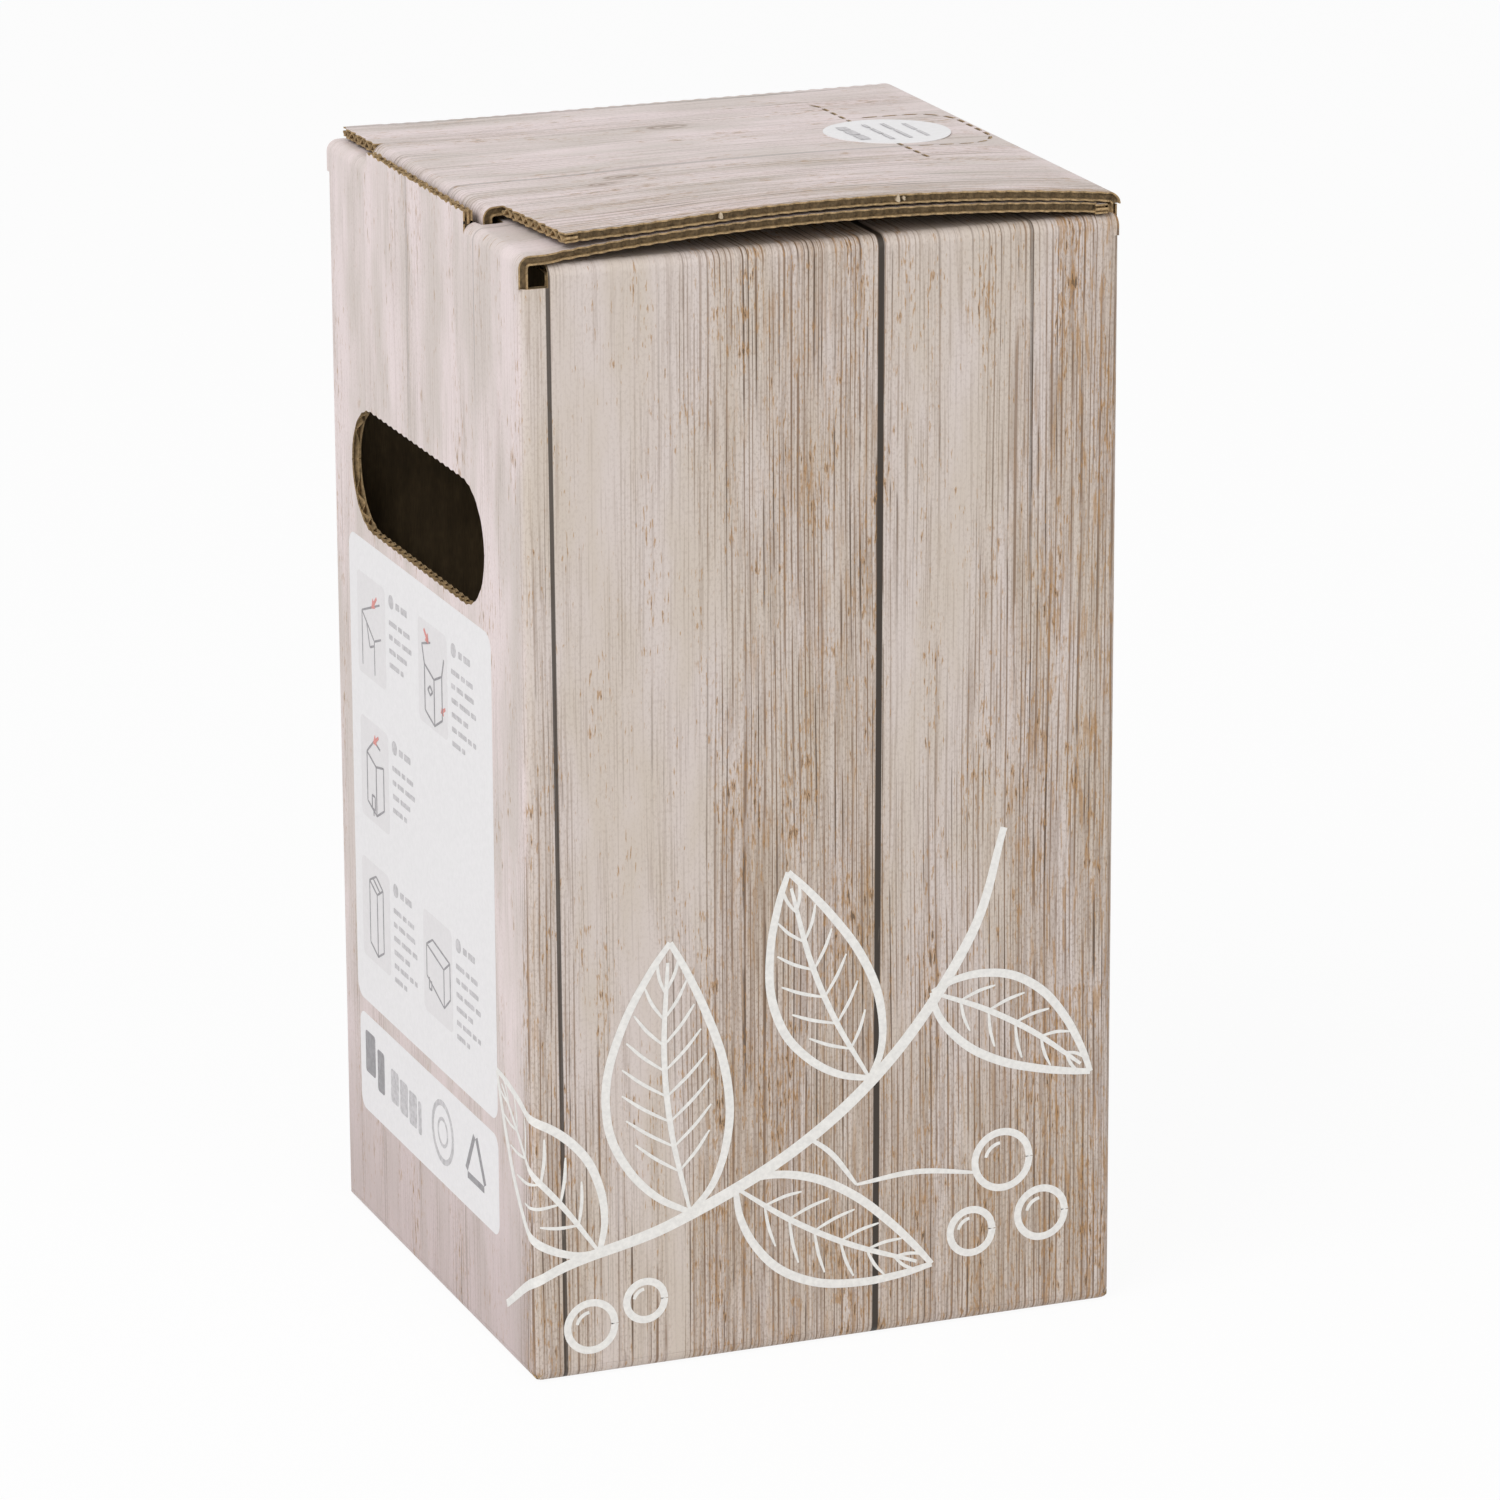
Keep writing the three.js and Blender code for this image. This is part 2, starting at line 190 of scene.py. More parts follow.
def folded(corners, side, c, step=4.0):
    """Rows along a folded sheet: printed point, bare point and length along the print.

    The corners run along the printed face. Side is 1 where the board lies to the left of
    the walk and -1 where it lies to the right.
    """
    points = [np.array(p, float) for p in corners]
    printed, bare = [], []
    for i, corner in enumerate(points):
        before = unit(corner - points[i - 1]) if i else None
        after = unit(points[i + 1] - corner) if i < len(points) - 1 else None
        walk = before if before is not None else after
        turn = 0.0 if before is None or after is None else float(np.cross(before, after))
        if abs(turn) < 1e-6:
            printed.append(corner)
            bare.append(corner + np.array([-walk[1], walk[0]]) * side * c.board)
            continue
        angle = math.acos(max(-1.0, min(1.0, float(before @ after))))
        turn = math.copysign(1, turn)
        outer = turn == side
        near, far = (c.fold, c.fold_inside) if outer else (c.fold_inside, c.fold)
        start = corner - before * near * math.tan(angle / 2)
        centre = start + np.array([-before[1], before[0]]) * turn * near
        first = math.atan2(*(start - centre)[::-1])
        steps = max(3, round(12 * angle / (math.pi / 2)))
        for k in range(steps + 1):
            swept = first + turn * angle * k / steps
            spoke = np.array([math.cos(swept), math.sin(swept)])
            printed.append(centre + spoke * near)
            bare.append(centre + spoke * far)
    rows_p, rows_q = [printed[0]], [bare[0]]
    for i in range(1, len(printed)):
        count = max(1, math.ceil(np.linalg.norm(printed[i] - printed[i - 1]) / step))
        for k in range(1, count + 1):
            rows_p.append(printed[i - 1] + (printed[i] - printed[i - 1]) * k / count)
            rows_q.append(bare[i - 1] + (bare[i] - bare[i - 1]) * k / count)
    p, q = np.array(rows_p), np.array(rows_q)
    length = np.concatenate([[0], np.cumsum(np.linalg.norm(np.diff(p, axis=0), axis=1))])
    return SimpleNamespace(p=p, q=q, s=length)


class Board:
    """Points, faces, print coordinates and finishes of one piece, in millimetres.

    Place turns print coordinates and a lift off the board into a point, for inked shapes.
    """

    def __init__(self, place=None):
        self.place = place
        self.points, self.faces, self.prints, self.kinds = [], [], [], []
        self.count = 0

    def ink_layer(self):
        """Small rise of the next inked shape over the last, so that no two share a plane."""
        return 0.0015 * (len(self.faces) // 6 % 40)

    def slab(self, top, bottom, uv, kinds=(PRINT, INSIDE, CUT)):
        """Closed slab between two grids of points, with finishes of top, bottom and sides."""
        if isinstance(kinds, int):
            kinds = (kinds,) * 3
        n, m = top.shape[:2]
        start = self.count
        self.points.append(top.reshape(-1, 3))
        self.points.append(bottom.reshape(-1, 3))
        self.count += 2 * n * m
        flat = np.broadcast_to(uv, (n, m, 2)).reshape(-1, 2)
        self.prints.append(np.concatenate([flat, flat]))
        index = np.arange(n * m).reshape(n, m) + start
        lower = index + n * m

        def add(a, b, d, e, kind):
            quads = np.stack([a, b, d, e], -1).reshape(-1, 4)
            self.faces.append(quads)
            self.kinds.append(np.full(len(quads), kind))

        add(index[:-1, :-1], index[1:, :-1], index[1:, 1:], index[:-1, 1:], kinds[0])
        add(lower[:-1, :-1], lower[:-1, 1:], lower[1:, 1:], lower[1:, :-1], kinds[1])
        add(index[:-1, 0], lower[:-1, 0], lower[1:, 0], index[1:, 0], kinds[2])
        add(index[:-1, -1], index[1:, -1], lower[1:, -1], lower[:-1, -1], kinds[2])
        add(index[0, :-1], index[0, 1:], lower[0, 1:], lower[0, :-1], kinds[2])
        add(index[-1, :-1], lower[-1, :-1], lower[-1, 1:], index[-1, 1:], kinds[2])

    def inked(self, flat, lift, kind):
        """Film of ink over a grid of print coordinates."""
        levels = (lift, lift - INK_FILM)
        self.slab(*(self.place(flat[..., 0], flat[..., 1], up) for up in levels), flat, kind)

    def sheet(self, rows, ends, place, uv, columns=1, near=0, far=1, kinds=(PRINT, INSIDE, CUT)):
        """Slab of a folded sheet between two depths of the board, from end to end of each row."""
        ends = np.broadcast_to(np.array(ends, float), (len(rows.s), 2))
        t = ends[:, :1] + (ends[:, 1:] - ends[:, :1]) * np.linspace(0, 1, columns + 1)
        grids = []
        for depth in (near, far):
            at = rows.p + (rows.q - rows.p) * depth
            grids.append(spread(*place(at[:, :1], at[:, 1:], t)))
        self.slab(*grids, spread(*uv(rows.s[:, None], t)), kinds)

    def layered(self, rows, ends, place, uv, columns=1, recess=(0.6, 0.6)):
        """Sheet whose two liners stand proud of the fluting at its ends."""
        ends = np.broadcast_to(np.array(ends, float), (len(rows.s), 2))
        inner = ends + np.array([recess[0], -recess[1]])
        self.sheet(rows, ends, place, uv, columns, 0, LINER, (PRINT, CUT, CUT))
        self.sheet(rows, inner, place, uv, columns, LINER, 1 - LINER, CORE)
        self.sheet(rows, ends, place, uv, columns, 1 - LINER, 1, (CUT, INSIDE, CUT))

    def fluted_end(self, printed, bare, inward, uv, uv_in, c):
        """Open end of the board across its flutes: two liners and the wave between them."""
        along = np.concatenate([[0], np.cumsum(np.linalg.norm(np.diff(printed, axis=0), axis=1))])
        phase = 2 * math.pi * along / c.pitch
        through = bare - printed
        # The blunt rule crushes the liners between the crests of the fluting
        crushed = CRUSH * (0.5 + 0.5 * np.sin(phase))[:, None] * inward
        grid = np.stack([printed + crushed, printed + inward * (c.cell + 0.4)])
        coordinates = np.stack([uv, uv + np.array(uv_in) * (c.cell + 0.4)])
        proud = through * 0.004
        self.slab(grid - proud, grid + through * LINER, coordinates, (PRINT, CUT, CUT))
        inner = grid + through * (1 - LINER)
        self.slab(inner, grid + through + proud, coordinates, (CUT, INSIDE, CUT))
        wave = (0.5 + WAVE * np.sin(phase))[:, None]
        half = FLUTING * (1 + 0.8 * np.abs(np.cos(phase)))[:, None]
        grid[0] = printed + inward * 0.02
        self.slab(grid + through * (wave - half), grid + through * (wave + half), coordinates, CUT)

    def piece(self, name, body, materials, replaced=(), slot="printed_corrugated_board"):
        """Blender object of the collected slabs, riding on a body of the frame."""
        mesh = bpy.data.meshes.new(name)
        faces = np.concatenate(self.faces)
        mesh.from_pydata(np.concatenate(self.points) * 0.001, [], faces.tolist())
        layer = mesh.uv_layers.new(name="print")
        loops = np.zeros(len(mesh.loops), np.int32)
        mesh.loops.foreach_get("vertex_index", loops)
        flat = np.concatenate(self.prints)[loops] * 0.001
        layer.data.foreach_set("uv", flat.astype(np.float32).ravel())
        for material in materials:
            mesh.materials.append(material)
        mesh.polygons.foreach_set("material_index", np.concatenate(self.kinds).astype(np.int32))
        shell = bmesh.new()
        shell.from_mesh(mesh)
        bmesh.ops.recalc_face_normals(shell, faces=shell.faces)
        shell.to_mesh(mesh)
        shell.free()
        mesh.shade_smooth()
        mesh.set_sharp_from_angle(angle=math.radians(38))
        mesh.update()
        thing = bpy.data.objects.new(name, mesh)
        bpy.context.scene.collection.objects.link(thing)
        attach(thing, body)
        if replaced:
            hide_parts(*replaced)
        return thing


class Wire:
    """Output of a node. Each sign of arithmetic on it adds a Math node."""

    def __init__(self, socket):
        self.socket = socket

    def output(self, name):
        """Another output of the same node."""
        return Wire(self.socket.node.outputs[name])

    def into(self, kind, *values, **settings):
        """Adds a node whose first sockets take this output and the values."""
        return add_node(self.socket.id_data, kind, (self, *values), **settings)

    def __add__(self, value):
        return self.into("Math", value, operation="ADD")

    def __sub__(self, value):
        return self.into("Math", value, operation="SUBTRACT")

    def __mul__(self, value):
        return self.into("Math", value, operation="MULTIPLY")

    def __truediv__(self, value):
        return self.into("Math", value, operation="DIVIDE")


def add_node(tree, kind, sockets=(), output=0, **settings):
    """Adds a node with its settings; each socket takes a value or the output of a node."""
    node = tree.nodes.new("ShaderNode" + kind)
    for name, value in (NODE_SETTINGS.get(kind, {}) | settings).items():
        setattr(node, name, value)
    for name, value in sockets.items() if isinstance(sockets, dict) else enumerate(sockets):
        if isinstance(value, Wire):
            tree.links.new(value.socket, node.inputs[name])
        else:
            node.inputs[name].default_value = value
    return Wire(node.outputs[output])


def new_material(name, roughness, ior=1.5):
    """Material, the function that adds nodes to it, and its shader."""
    material = bpy.data.materials.new(name)
    material.use_nodes = True
    tree = material.node_tree
    shader = tree.nodes["Principled BSDF"]
    shader.inputs["Roughness"].default_value = roughness
    shader.inputs["IOR"].default_value = ior
    return material, partial(add_node, tree), shader


def finish_surface(shader, colour, relief, strength, distance):
    """Gives the shader its colour, and a relief whose height is a distance in metres."""
    tree = shader.id_data
    bump = add_node(tree, "Bump", {"Height": relief, "Strength": strength, "Distance": distance})
    tree.links.new(colour.socket, shader.inputs["Base Color"])
    tree.links.new(bump.socket, shader.inputs["Normal"])


def rgba(colour):
    return (*colour, 1.0)


def with_stops(ramp, stops):
    """Colour ramp with its stops, each a place and a grey value or a colour."""
    elements = ramp.socket.node.color_ramp.elements
    while len(elements) < len(stops):
        elements.new(1)
    for element, (place, colour) in zip(elements, stops):
        element.position = place
        element.color = rgba([colour] * 3 if isinstance(colour, float) else colour)
    return ramp


def grain(u, v, width, length, detail=2.0, seed=0.0):
    """Noise whose patches are width across the grain and length along it, in metres."""
    tree = u.socket.id_data
    vector = add_node(tree, "CombineXYZ", (u / width, v / length, seed))
    sockets = {"Vector": vector, "Scale": 1.0, "Detail": detail, "Roughness": 0.55}
    return add_node(tree, "TexNoise", sockets)


def plank_gap(u, v, place, lean, width, strength, low=-1, high=1):
    """Mask of one dark gap: place across the grain at the floor, leaning along its length."""
    away = (u - (v * lean + place)).into("Math", operation="ABSOLUTE")
    line = away.into("MapRange", width * 0.62, width * 0.42)
    if low > -1:
        line *= v.into("MapRange", low, low + 0.03)
    if high < 1:
        line *= v.into("MapRange", high + 0.03, high)
    return line * strength


# Density of the printed grain round the blank: millimetres from the near corner, then share
GRAIN_DENSITY = (
    ((-252, 0.55), (-200, 0.8), (-150, 0.35))  # back
    + ((-118, 0.1), (-8, 0.1), (0, 0.45))  # handle side
    + ((9, 0.16), (32, 0.14), (42, 0.55), (60, 0.85), (75, 0.75))  # front, wide plank
    + ((80, 0.4), (93, 0.3), (104, 0.55), (116, 0.75), (129, 0.8))  # front, right plank
    + ((135, 0.42), (158, 0.3), (182, 0.22), (190, 0.12), (252, 0.12))  # hinge side
)

# Gaps between planks: place across the grain, lean, width, strength, and the levels they keep to
PLANK_GAPS = (
    (0.0752, 0.0058, 0.0013, 1.0),
    (0.1095, 0.0, 0.0006, 0.55, 0.15),
    (-0.0272, 0.0, 0.0006, 0.28, 0.19),
    (-0.0690, 0.0, 0.0009, 0.22, 0.175),
    (-0.1760, 0.004, 0.0010, 0.85),
    (0.1860, -0.012, 0.0012, 0.30, 0.24),
    (0.2440, 0.010, 0.0012, 0.30, 0.24),
)

# Knots on the lid: place across the grain, place along it and reach
KNOTS = ((0.222, 0.302, 0.006), (0.175, 0.330, 0.005), (0.170, 0.336, 0.004))


def printed_liner():
    """White-top liner, offset printed with limed planks.

    It gives the eye grain lines about 1.3 mm apart along the board's flutes, ochre flecks,
    dark gaps between planks and the faint washboard of the fluting under the ink.
    """
    colours = bpy.context.scene.carton_colours
    material, add, shader = new_material("offset_printed_white_top_liner", 0.52, 1.48)
    u = add("SeparateXYZ", [add("UVMap", uv_map="print")])
    v = u.output(1)
    sway = grain(u, v, 0.03, 0.16, 1.0, 3.1)
    bent = (sway - 0.5) * 0.003 + u
    # The ramp runs over the whole blank, half of it to each side of the near corner
    half = 252
    stops = [((place + half) / (2 * half), share) for place, share in GRAIN_DENSITY]
    density = with_stops(add("ValToRGB", [(u + half / 1000) / (2 * half / 1000)]), stops)
    density = (grain(bent, v, 0.007, 0.09, 3.0, 7.7) - 0.5) * 1.2 + density
    # Denser towards the floor, more so on the front, and on the lid
    low = v.into("MapRange", 0.16, 0.0) * u.into("MapRange", -0.012, 0.006) * 0.5
    low += v.into("MapRange", 0.09, 0.0) * 0.17
    density = density.into("MapRange", -0.1, 0.3) * low + density
    on_lid = v.into("MapRange", 0.24, 0.246) * u.into("MapRange", 0.127, 0.131)
    density = on_lid.into("Math", 0.17, density, operation="MULTIPLY_ADD", use_clamp=True)
    # Year rings cut lengthwise: thin dark lines about 1.3 mm apart, broken along their length
    rings = grain(bent, v, 0.006, 1.2, 2.0, 13.0) * 5.0 + bent / 0.0013
    crest = (rings * (2 * math.pi)).into("Math", operation="SINE")
    torn = grain(bent, v, 0.0016, 0.03, 5.0, 17.0).into("MapRange", 0.4, 0.52)
    lines = crest.into("MapRange", 0.5, 0.92) * torn * density.into("MapRange", 0.05, 0.75)
    # A few of them are much darker
    accent = grain(bent, v, 0.0013, 0.05, 3.0, 27.0).into("MapRange", 0.54, 0.6) * (lines * 0.6)
    # Hairlines between them, 0.4 mm wide
    hair = grain(bent, v, 0.0004, 0.03, 3.0) - (density * -0.1 + 0.57)
    hair = hair.into("MapRange", -0.02, 0.08) * (density * 0.25 + 0.17)
    # Brown wash along the denser bands
    band = grain(bent, v, 0.0035, 0.16, 3.0, 19.0).into("MapRange", 0.35, 0.65)
    wash = density.into("MapRange", 0.25, 1.1) * band
    # Ochre where the paint is thin, most on the right plank of the front
    right = u.into("MapRange", 0.1, 0.12) * u.into("MapRange", 0.15, 0.13)
    thin = grain(bent, v, 0.0009, 0.012, 4.0, 29.0).into("MapRange", 0.54, 0.62)
    thin = thin * density.into("MapRange", 0.3, 0.9) * (right * 0.3 + 0.34)
    # Grit of the limed surface, grains about half a millimetre
    grit = grain(u, v, 0.0005, 0.0009, 2.0, 33.0).into("MapRange", 0.5, 0.62)
    grit *= density * 0.24 + 0.06
    # Ochre flecks where the printed paint has worn through, and darker nicks in their middles
    worn = grain(u, v, 0.006, 0.035, 2.0, 23.0)
    speck = density * 0.08 + (worn * 0.5 + grain(bent, v, 0.0005, 0.0038, 3.0, 21.0))
    # Dark gaps between planks, broken here and there
    broken = grain(u, v, 0.0015, 0.012, 2.0, 31.0)
    gaps = plank_gap(u, v, 0.0064, -0.0046, 0.0009, 0.9)
    for gap in PLANK_GAPS:
        gaps = gaps.into("Math", plank_gap(u, v, *gap), operation="MAXIMUM")
    gaps *= broken.into("MapRange", 0.2, 0.36)
    # Ground of the paint, pinker on the handle side and on the lid; low on the handle side a
    # painted shade darkens it towards the floor
    warmth = grain(u, v, 0.012, 0.05, 3.0, 11.0).into("MapRange", 0.35, 0.65)
    front = (u - 0.065).into("Math", operation="ABSOLUTE").into("MapRange", 0.0665, 0.0645)
    ground = add("Mix", {0: warmth, 6: rgba(colours.plank), 7: rgba(colours.plank_warm)}, 2)
    pale = add("Mix", {0: warmth, 6: rgba(colours.plank_side), 7: rgba(colours.plank)}, 2)
    # Painted shade: the handle side darkens towards the floor
    painted_foot_shade = v.into("MapRange", 0.08, 0.0) * u.into("MapRange", 0.0, -0.004) * 0.6
    pale = add("Mix", {0: painted_foot_shade, 6: pale, 7: rgba(colours.painted_foot_shade)}, 2)
    colour = add("Mix", {0: front, 6: pale, 7: ground}, 2)
    layers = [(wash * 0.4, colours.wash), (hair, colours.grain), (lines * 0.85, colours.grain)]
    layers += [(accent, colours.gap), (thin, colours.fleck), (grit, colours.grain)]
    layers += [(speck.into("MapRange", 0.9, 0.97) * 0.7, colours.fleck)]
    layers += [(speck.into("MapRange", 1.0, 1.04) * 0.7, colours.gap), (gaps, colours.gap)]
    for place_u, place_v, reach in KNOTS:
        du, dv = (bent - place_u) / (reach * 0.45), (v - place_v) / reach
        away = (du * du + dv * dv).into("Math", operation="SQRT")
        turns = (away * 12.0).into("Math", operation="SINE").into("MapRange", -0.6, 0.7)
        amount = away.into("MapRange", 1.5, 0.3) * broken.into("MapRange", 0.3, 0.5)
        layers.append((amount * (turns * 0.55 + 0.25), colours.grain))
    for amount, shade in layers:
        colour = add("Mix", {0: amount, 6: colour, 7: rgba(shade)}, 2)
    # Fluting shows through as a washboard one pitch wide and a few hundredths deep
    pitch = bpy.context.scene.carton_sizes.flute_pitch
    wave = (u * (2 * math.pi / pitch)).into("Math", operation="SINE")
    relief = wave * 0.35 + grain(u, v, 0.0006, 0.0009, 3.0, 41.0) * 0.5
    finish_surface(shader, colour, relief, 0.25, 0.00004)
    return material


def kraft_liner():
    """Unbleached kraft liner, calendered on a paper machine.

    It gives the eye a brown sheet with short fibres, darker flecks and faint flute bands.
    """
    scene = bpy.context.scene
    kraft = scene.carton_colours.kraft
    material, add, shader = new_material("kraft_liner_inside", 0.78)
    u = add("SeparateXYZ", [add("UVMap", uv_map="print")])
    v = u.output(1)
    # Fibres are about 3 mm long and drawn 0.3 mm wide, coarser than real, so that they show
    fibres = grain(u, v, 0.0003, 0.003, 3.0, 1.0)
    mottle = grain(u, v, 0.006, 0.006, 3.0, 2.0)
    wave = (u * (2 * math.pi / scene.carton_sizes.flute_pitch)).into("Math", operation="SINE")
    tone = wave * 0.03 + (fibres * 0.5 + mottle * 0.4)
    # The inside is painted well below the kraft's own colour, a painted shade for the carton's
    # inside seen through the hand hole
    shades = [[value * share for value in kraft] for share in (0.29, 0.44, 0.6)]
    colour = with_stops(add("ValToRGB", [tone]), list(zip((0.28, 0.46, 0.62), shades)))
    finish_surface(shader, colour, tone, 0.35, 0.00008)
    return material


def paper(name, roughness, colour, shares, stops, scale, bump):
    """Material whose colour and relief both follow the same fine fibre."""
    material, add, shader = new_material(name, roughness)
    place = add("TexCoord", output="Object")
    sockets = {"Vector": place, "Scale": scale, "Detail": 3.0, "Roughness": 0.6}
    fibre = add("TexNoise", sockets)
    shades = [[min(1.0, max(0.0, value * share)) for value in colour] for share in shares]
    colour = with_stops(add("ValToRGB", [fibre]), list(zip(stops, shades)))
    finish_surface(shader, colour, fibre, *bump)
    return material


def kraft_edge(name, shade):
    """Die-cut edge of kraft board, torn a little by the rule.

    It gives the eye rough paper ends in lighter and darker brown; a shade below one darkens them
    all as painted shade.
    """
    colour, shares = bpy.context.scene.carton_colours.kraft, (0.5 * shade, 1.2 * shade)
    return paper(name, 0.9, colour, shares, (0.3, 0.62), 1400.0, (0.6, 0.00015))


def ink(name, colour, roughness=0.5, mottle=0.04):
    """Offset ink on the liner: matt, with the paper's fibre showing faintly through."""
    shares = (1 - 2 * mottle, 1 + mottle)
    return paper(name, roughness, colour, shares, (0.35, 0.65), 900.0, (0.12, 0.00002))


def finish(name):
    """Material of that name, made when it is first asked for."""
    colours = bpy.context.scene.carton_colours
    makers = {
        "print": printed_liner,
        "inside": kraft_liner,
        "cut": lambda: kraft_edge("kraft_die_cut_edge", 1.0),
        # Darker copy of the cut edge: painted shade on the fluting set back between the liners and
        # in the knife cuts
        "core": lambda: kraft_edge("kraft_fluting_shade", 0.42),
        "panel": lambda: ink("white_panel_ink", colours.panel, mottle=0.015),
        "sketch": lambda: ink("dark_grey_ink", colours.sketch, mottle=0.1),
        "nick": lambda: ink("torn_paper_fibre", colours.nick, 0.85, 0.1),
        "line": lambda: ink("white_line_ink", colours.line, 0.45),
        "grey": lambda: ink("grey_text_ink", colours.text_grey, mottle=0.1),
        "icon": lambda: ink("pale_grey_ink", colours.icon_grey, mottle=0.015),
        "red": lambda: ink("red_ink", colours.red, mottle=0.08),
        "label": lambda: ink("coated_label_paper", colours.label, 0.32, 0.02),
    }
    for material in bpy.data.materials:
        if material.get("finish") == name:
            return material
    material = makers[name]()
    material["finish"] = name
    return material


def board_finishes():
    return [finish("print"), finish("inside"), finish("cut"), finish("core")]


def stadium(y, c, grow=0.0):
    """Half height of the hand hole at a place along the handle panel."""
    radius = c.hole_radius + grow
    flat = c.hole_half - c.hole_radius
    over = np.clip(np.abs(y - c.shift) - flat, 0, None)
    return arc(radius, over)


def build_walls(c):
    walls = Board()
    ends = np.linspace(0, math.pi / 2, 14)
    flat = c.hole_half - c.hole_radius
    rounds = [flat + c.hole_radius * math.sin(a) for a in ends]
    rounds += [flat + c.hole_radius + grow for grow in (0.4, 0.8, 1.2, 1.6)]
    rounds += [k * c.pitch / 8 for k in range(int(flat / c.pitch * 8))]
    stops = sorted({round(c.shift + way * r, 4) for r in rounds for way in (-1, 1)}, reverse=True)
    lap_face = c.back - c.board
    corners = [(c.right - 1, c.back), (c.left, c.back)]
    corners += [(c.left, y) for y in stops]
    corners += [(c.left, c.front), (c.right, c.front)]
    corners += [(c.right, lap_face), (c.right - c.lap, lap_face)]
    rows = folded(corners, 1, c, 6.0)
    # Print coordinates run round the walls, zero at the near corner of handle side and front
    near_corner = np.argmin(np.hypot(rows.p[:, 0] - c.left, rows.p[:, 1] - c.front))
    uv = lambda s, t: (s - rows.s[near_corner], t)
    place = lambda a, b, t: (a, b, t)
    on_handle_side = np.abs(rows.p[:, 0] - c.left) < 0.01
    low, high = c.fold, c.slot_level
    for near, far, kinds, grow in (
        (0, LINER, (PRINT, CUT, CUT), 0.0),
        (LINER, 1 - LINER, CORE, 1.6),
        (1 - LINER, 1, (CUT, INSIDE, CUT), 0.0),
    ):
        teeth = 0.16 * np.sin(2 * math.pi * rows.p[:, 1] / c.pitch) if grow == 0 else 0.0
        half = np.where(on_handle_side, stadium(rows.p[:, 1], c, grow) + teeth, 0.0)
        beyond = np.abs(rows.p[:, 1] - c.shift) > c.hole_half + grow
        half = np.where(beyond, 0.0, half)
        for span in (spread(low, c.hole_level - half), spread(c.hole_level + half, high)):
            walls.sheet(rows, span, place, uv, 1, near, far, kinds)
    # Fluting that shows between the liners round the hand hole
    y = np.arange(c.shift - c.hole_half - 1.5, c.shift + c.hole_half + 1.5, c.pitch / 12)
    inner = np.where(np.abs(y - c.shift) > c.hole_half, 0, stadium(y, c))
    outer = stadium(y, c, 1.6)
    wave = c.left + c.board * (0.5 + WAVE * np.sin(2 * math.pi * y / c.pitch))
    for way in (-1, 1):
        z = np.stack([c.hole_level + way * outer, c.hole_level + way * np.maximum(inner - 0.22, 0)])
        walls.slab(spread(wave - 0.1, y, z), spread(wave + 0.1, y, z), spread(y, z), CUT)
    return walls


def edge_samples(start, end, c):
    return np.linspace(start, end, max(2, math.ceil(abs(end - start) / c.pitch * 12)))


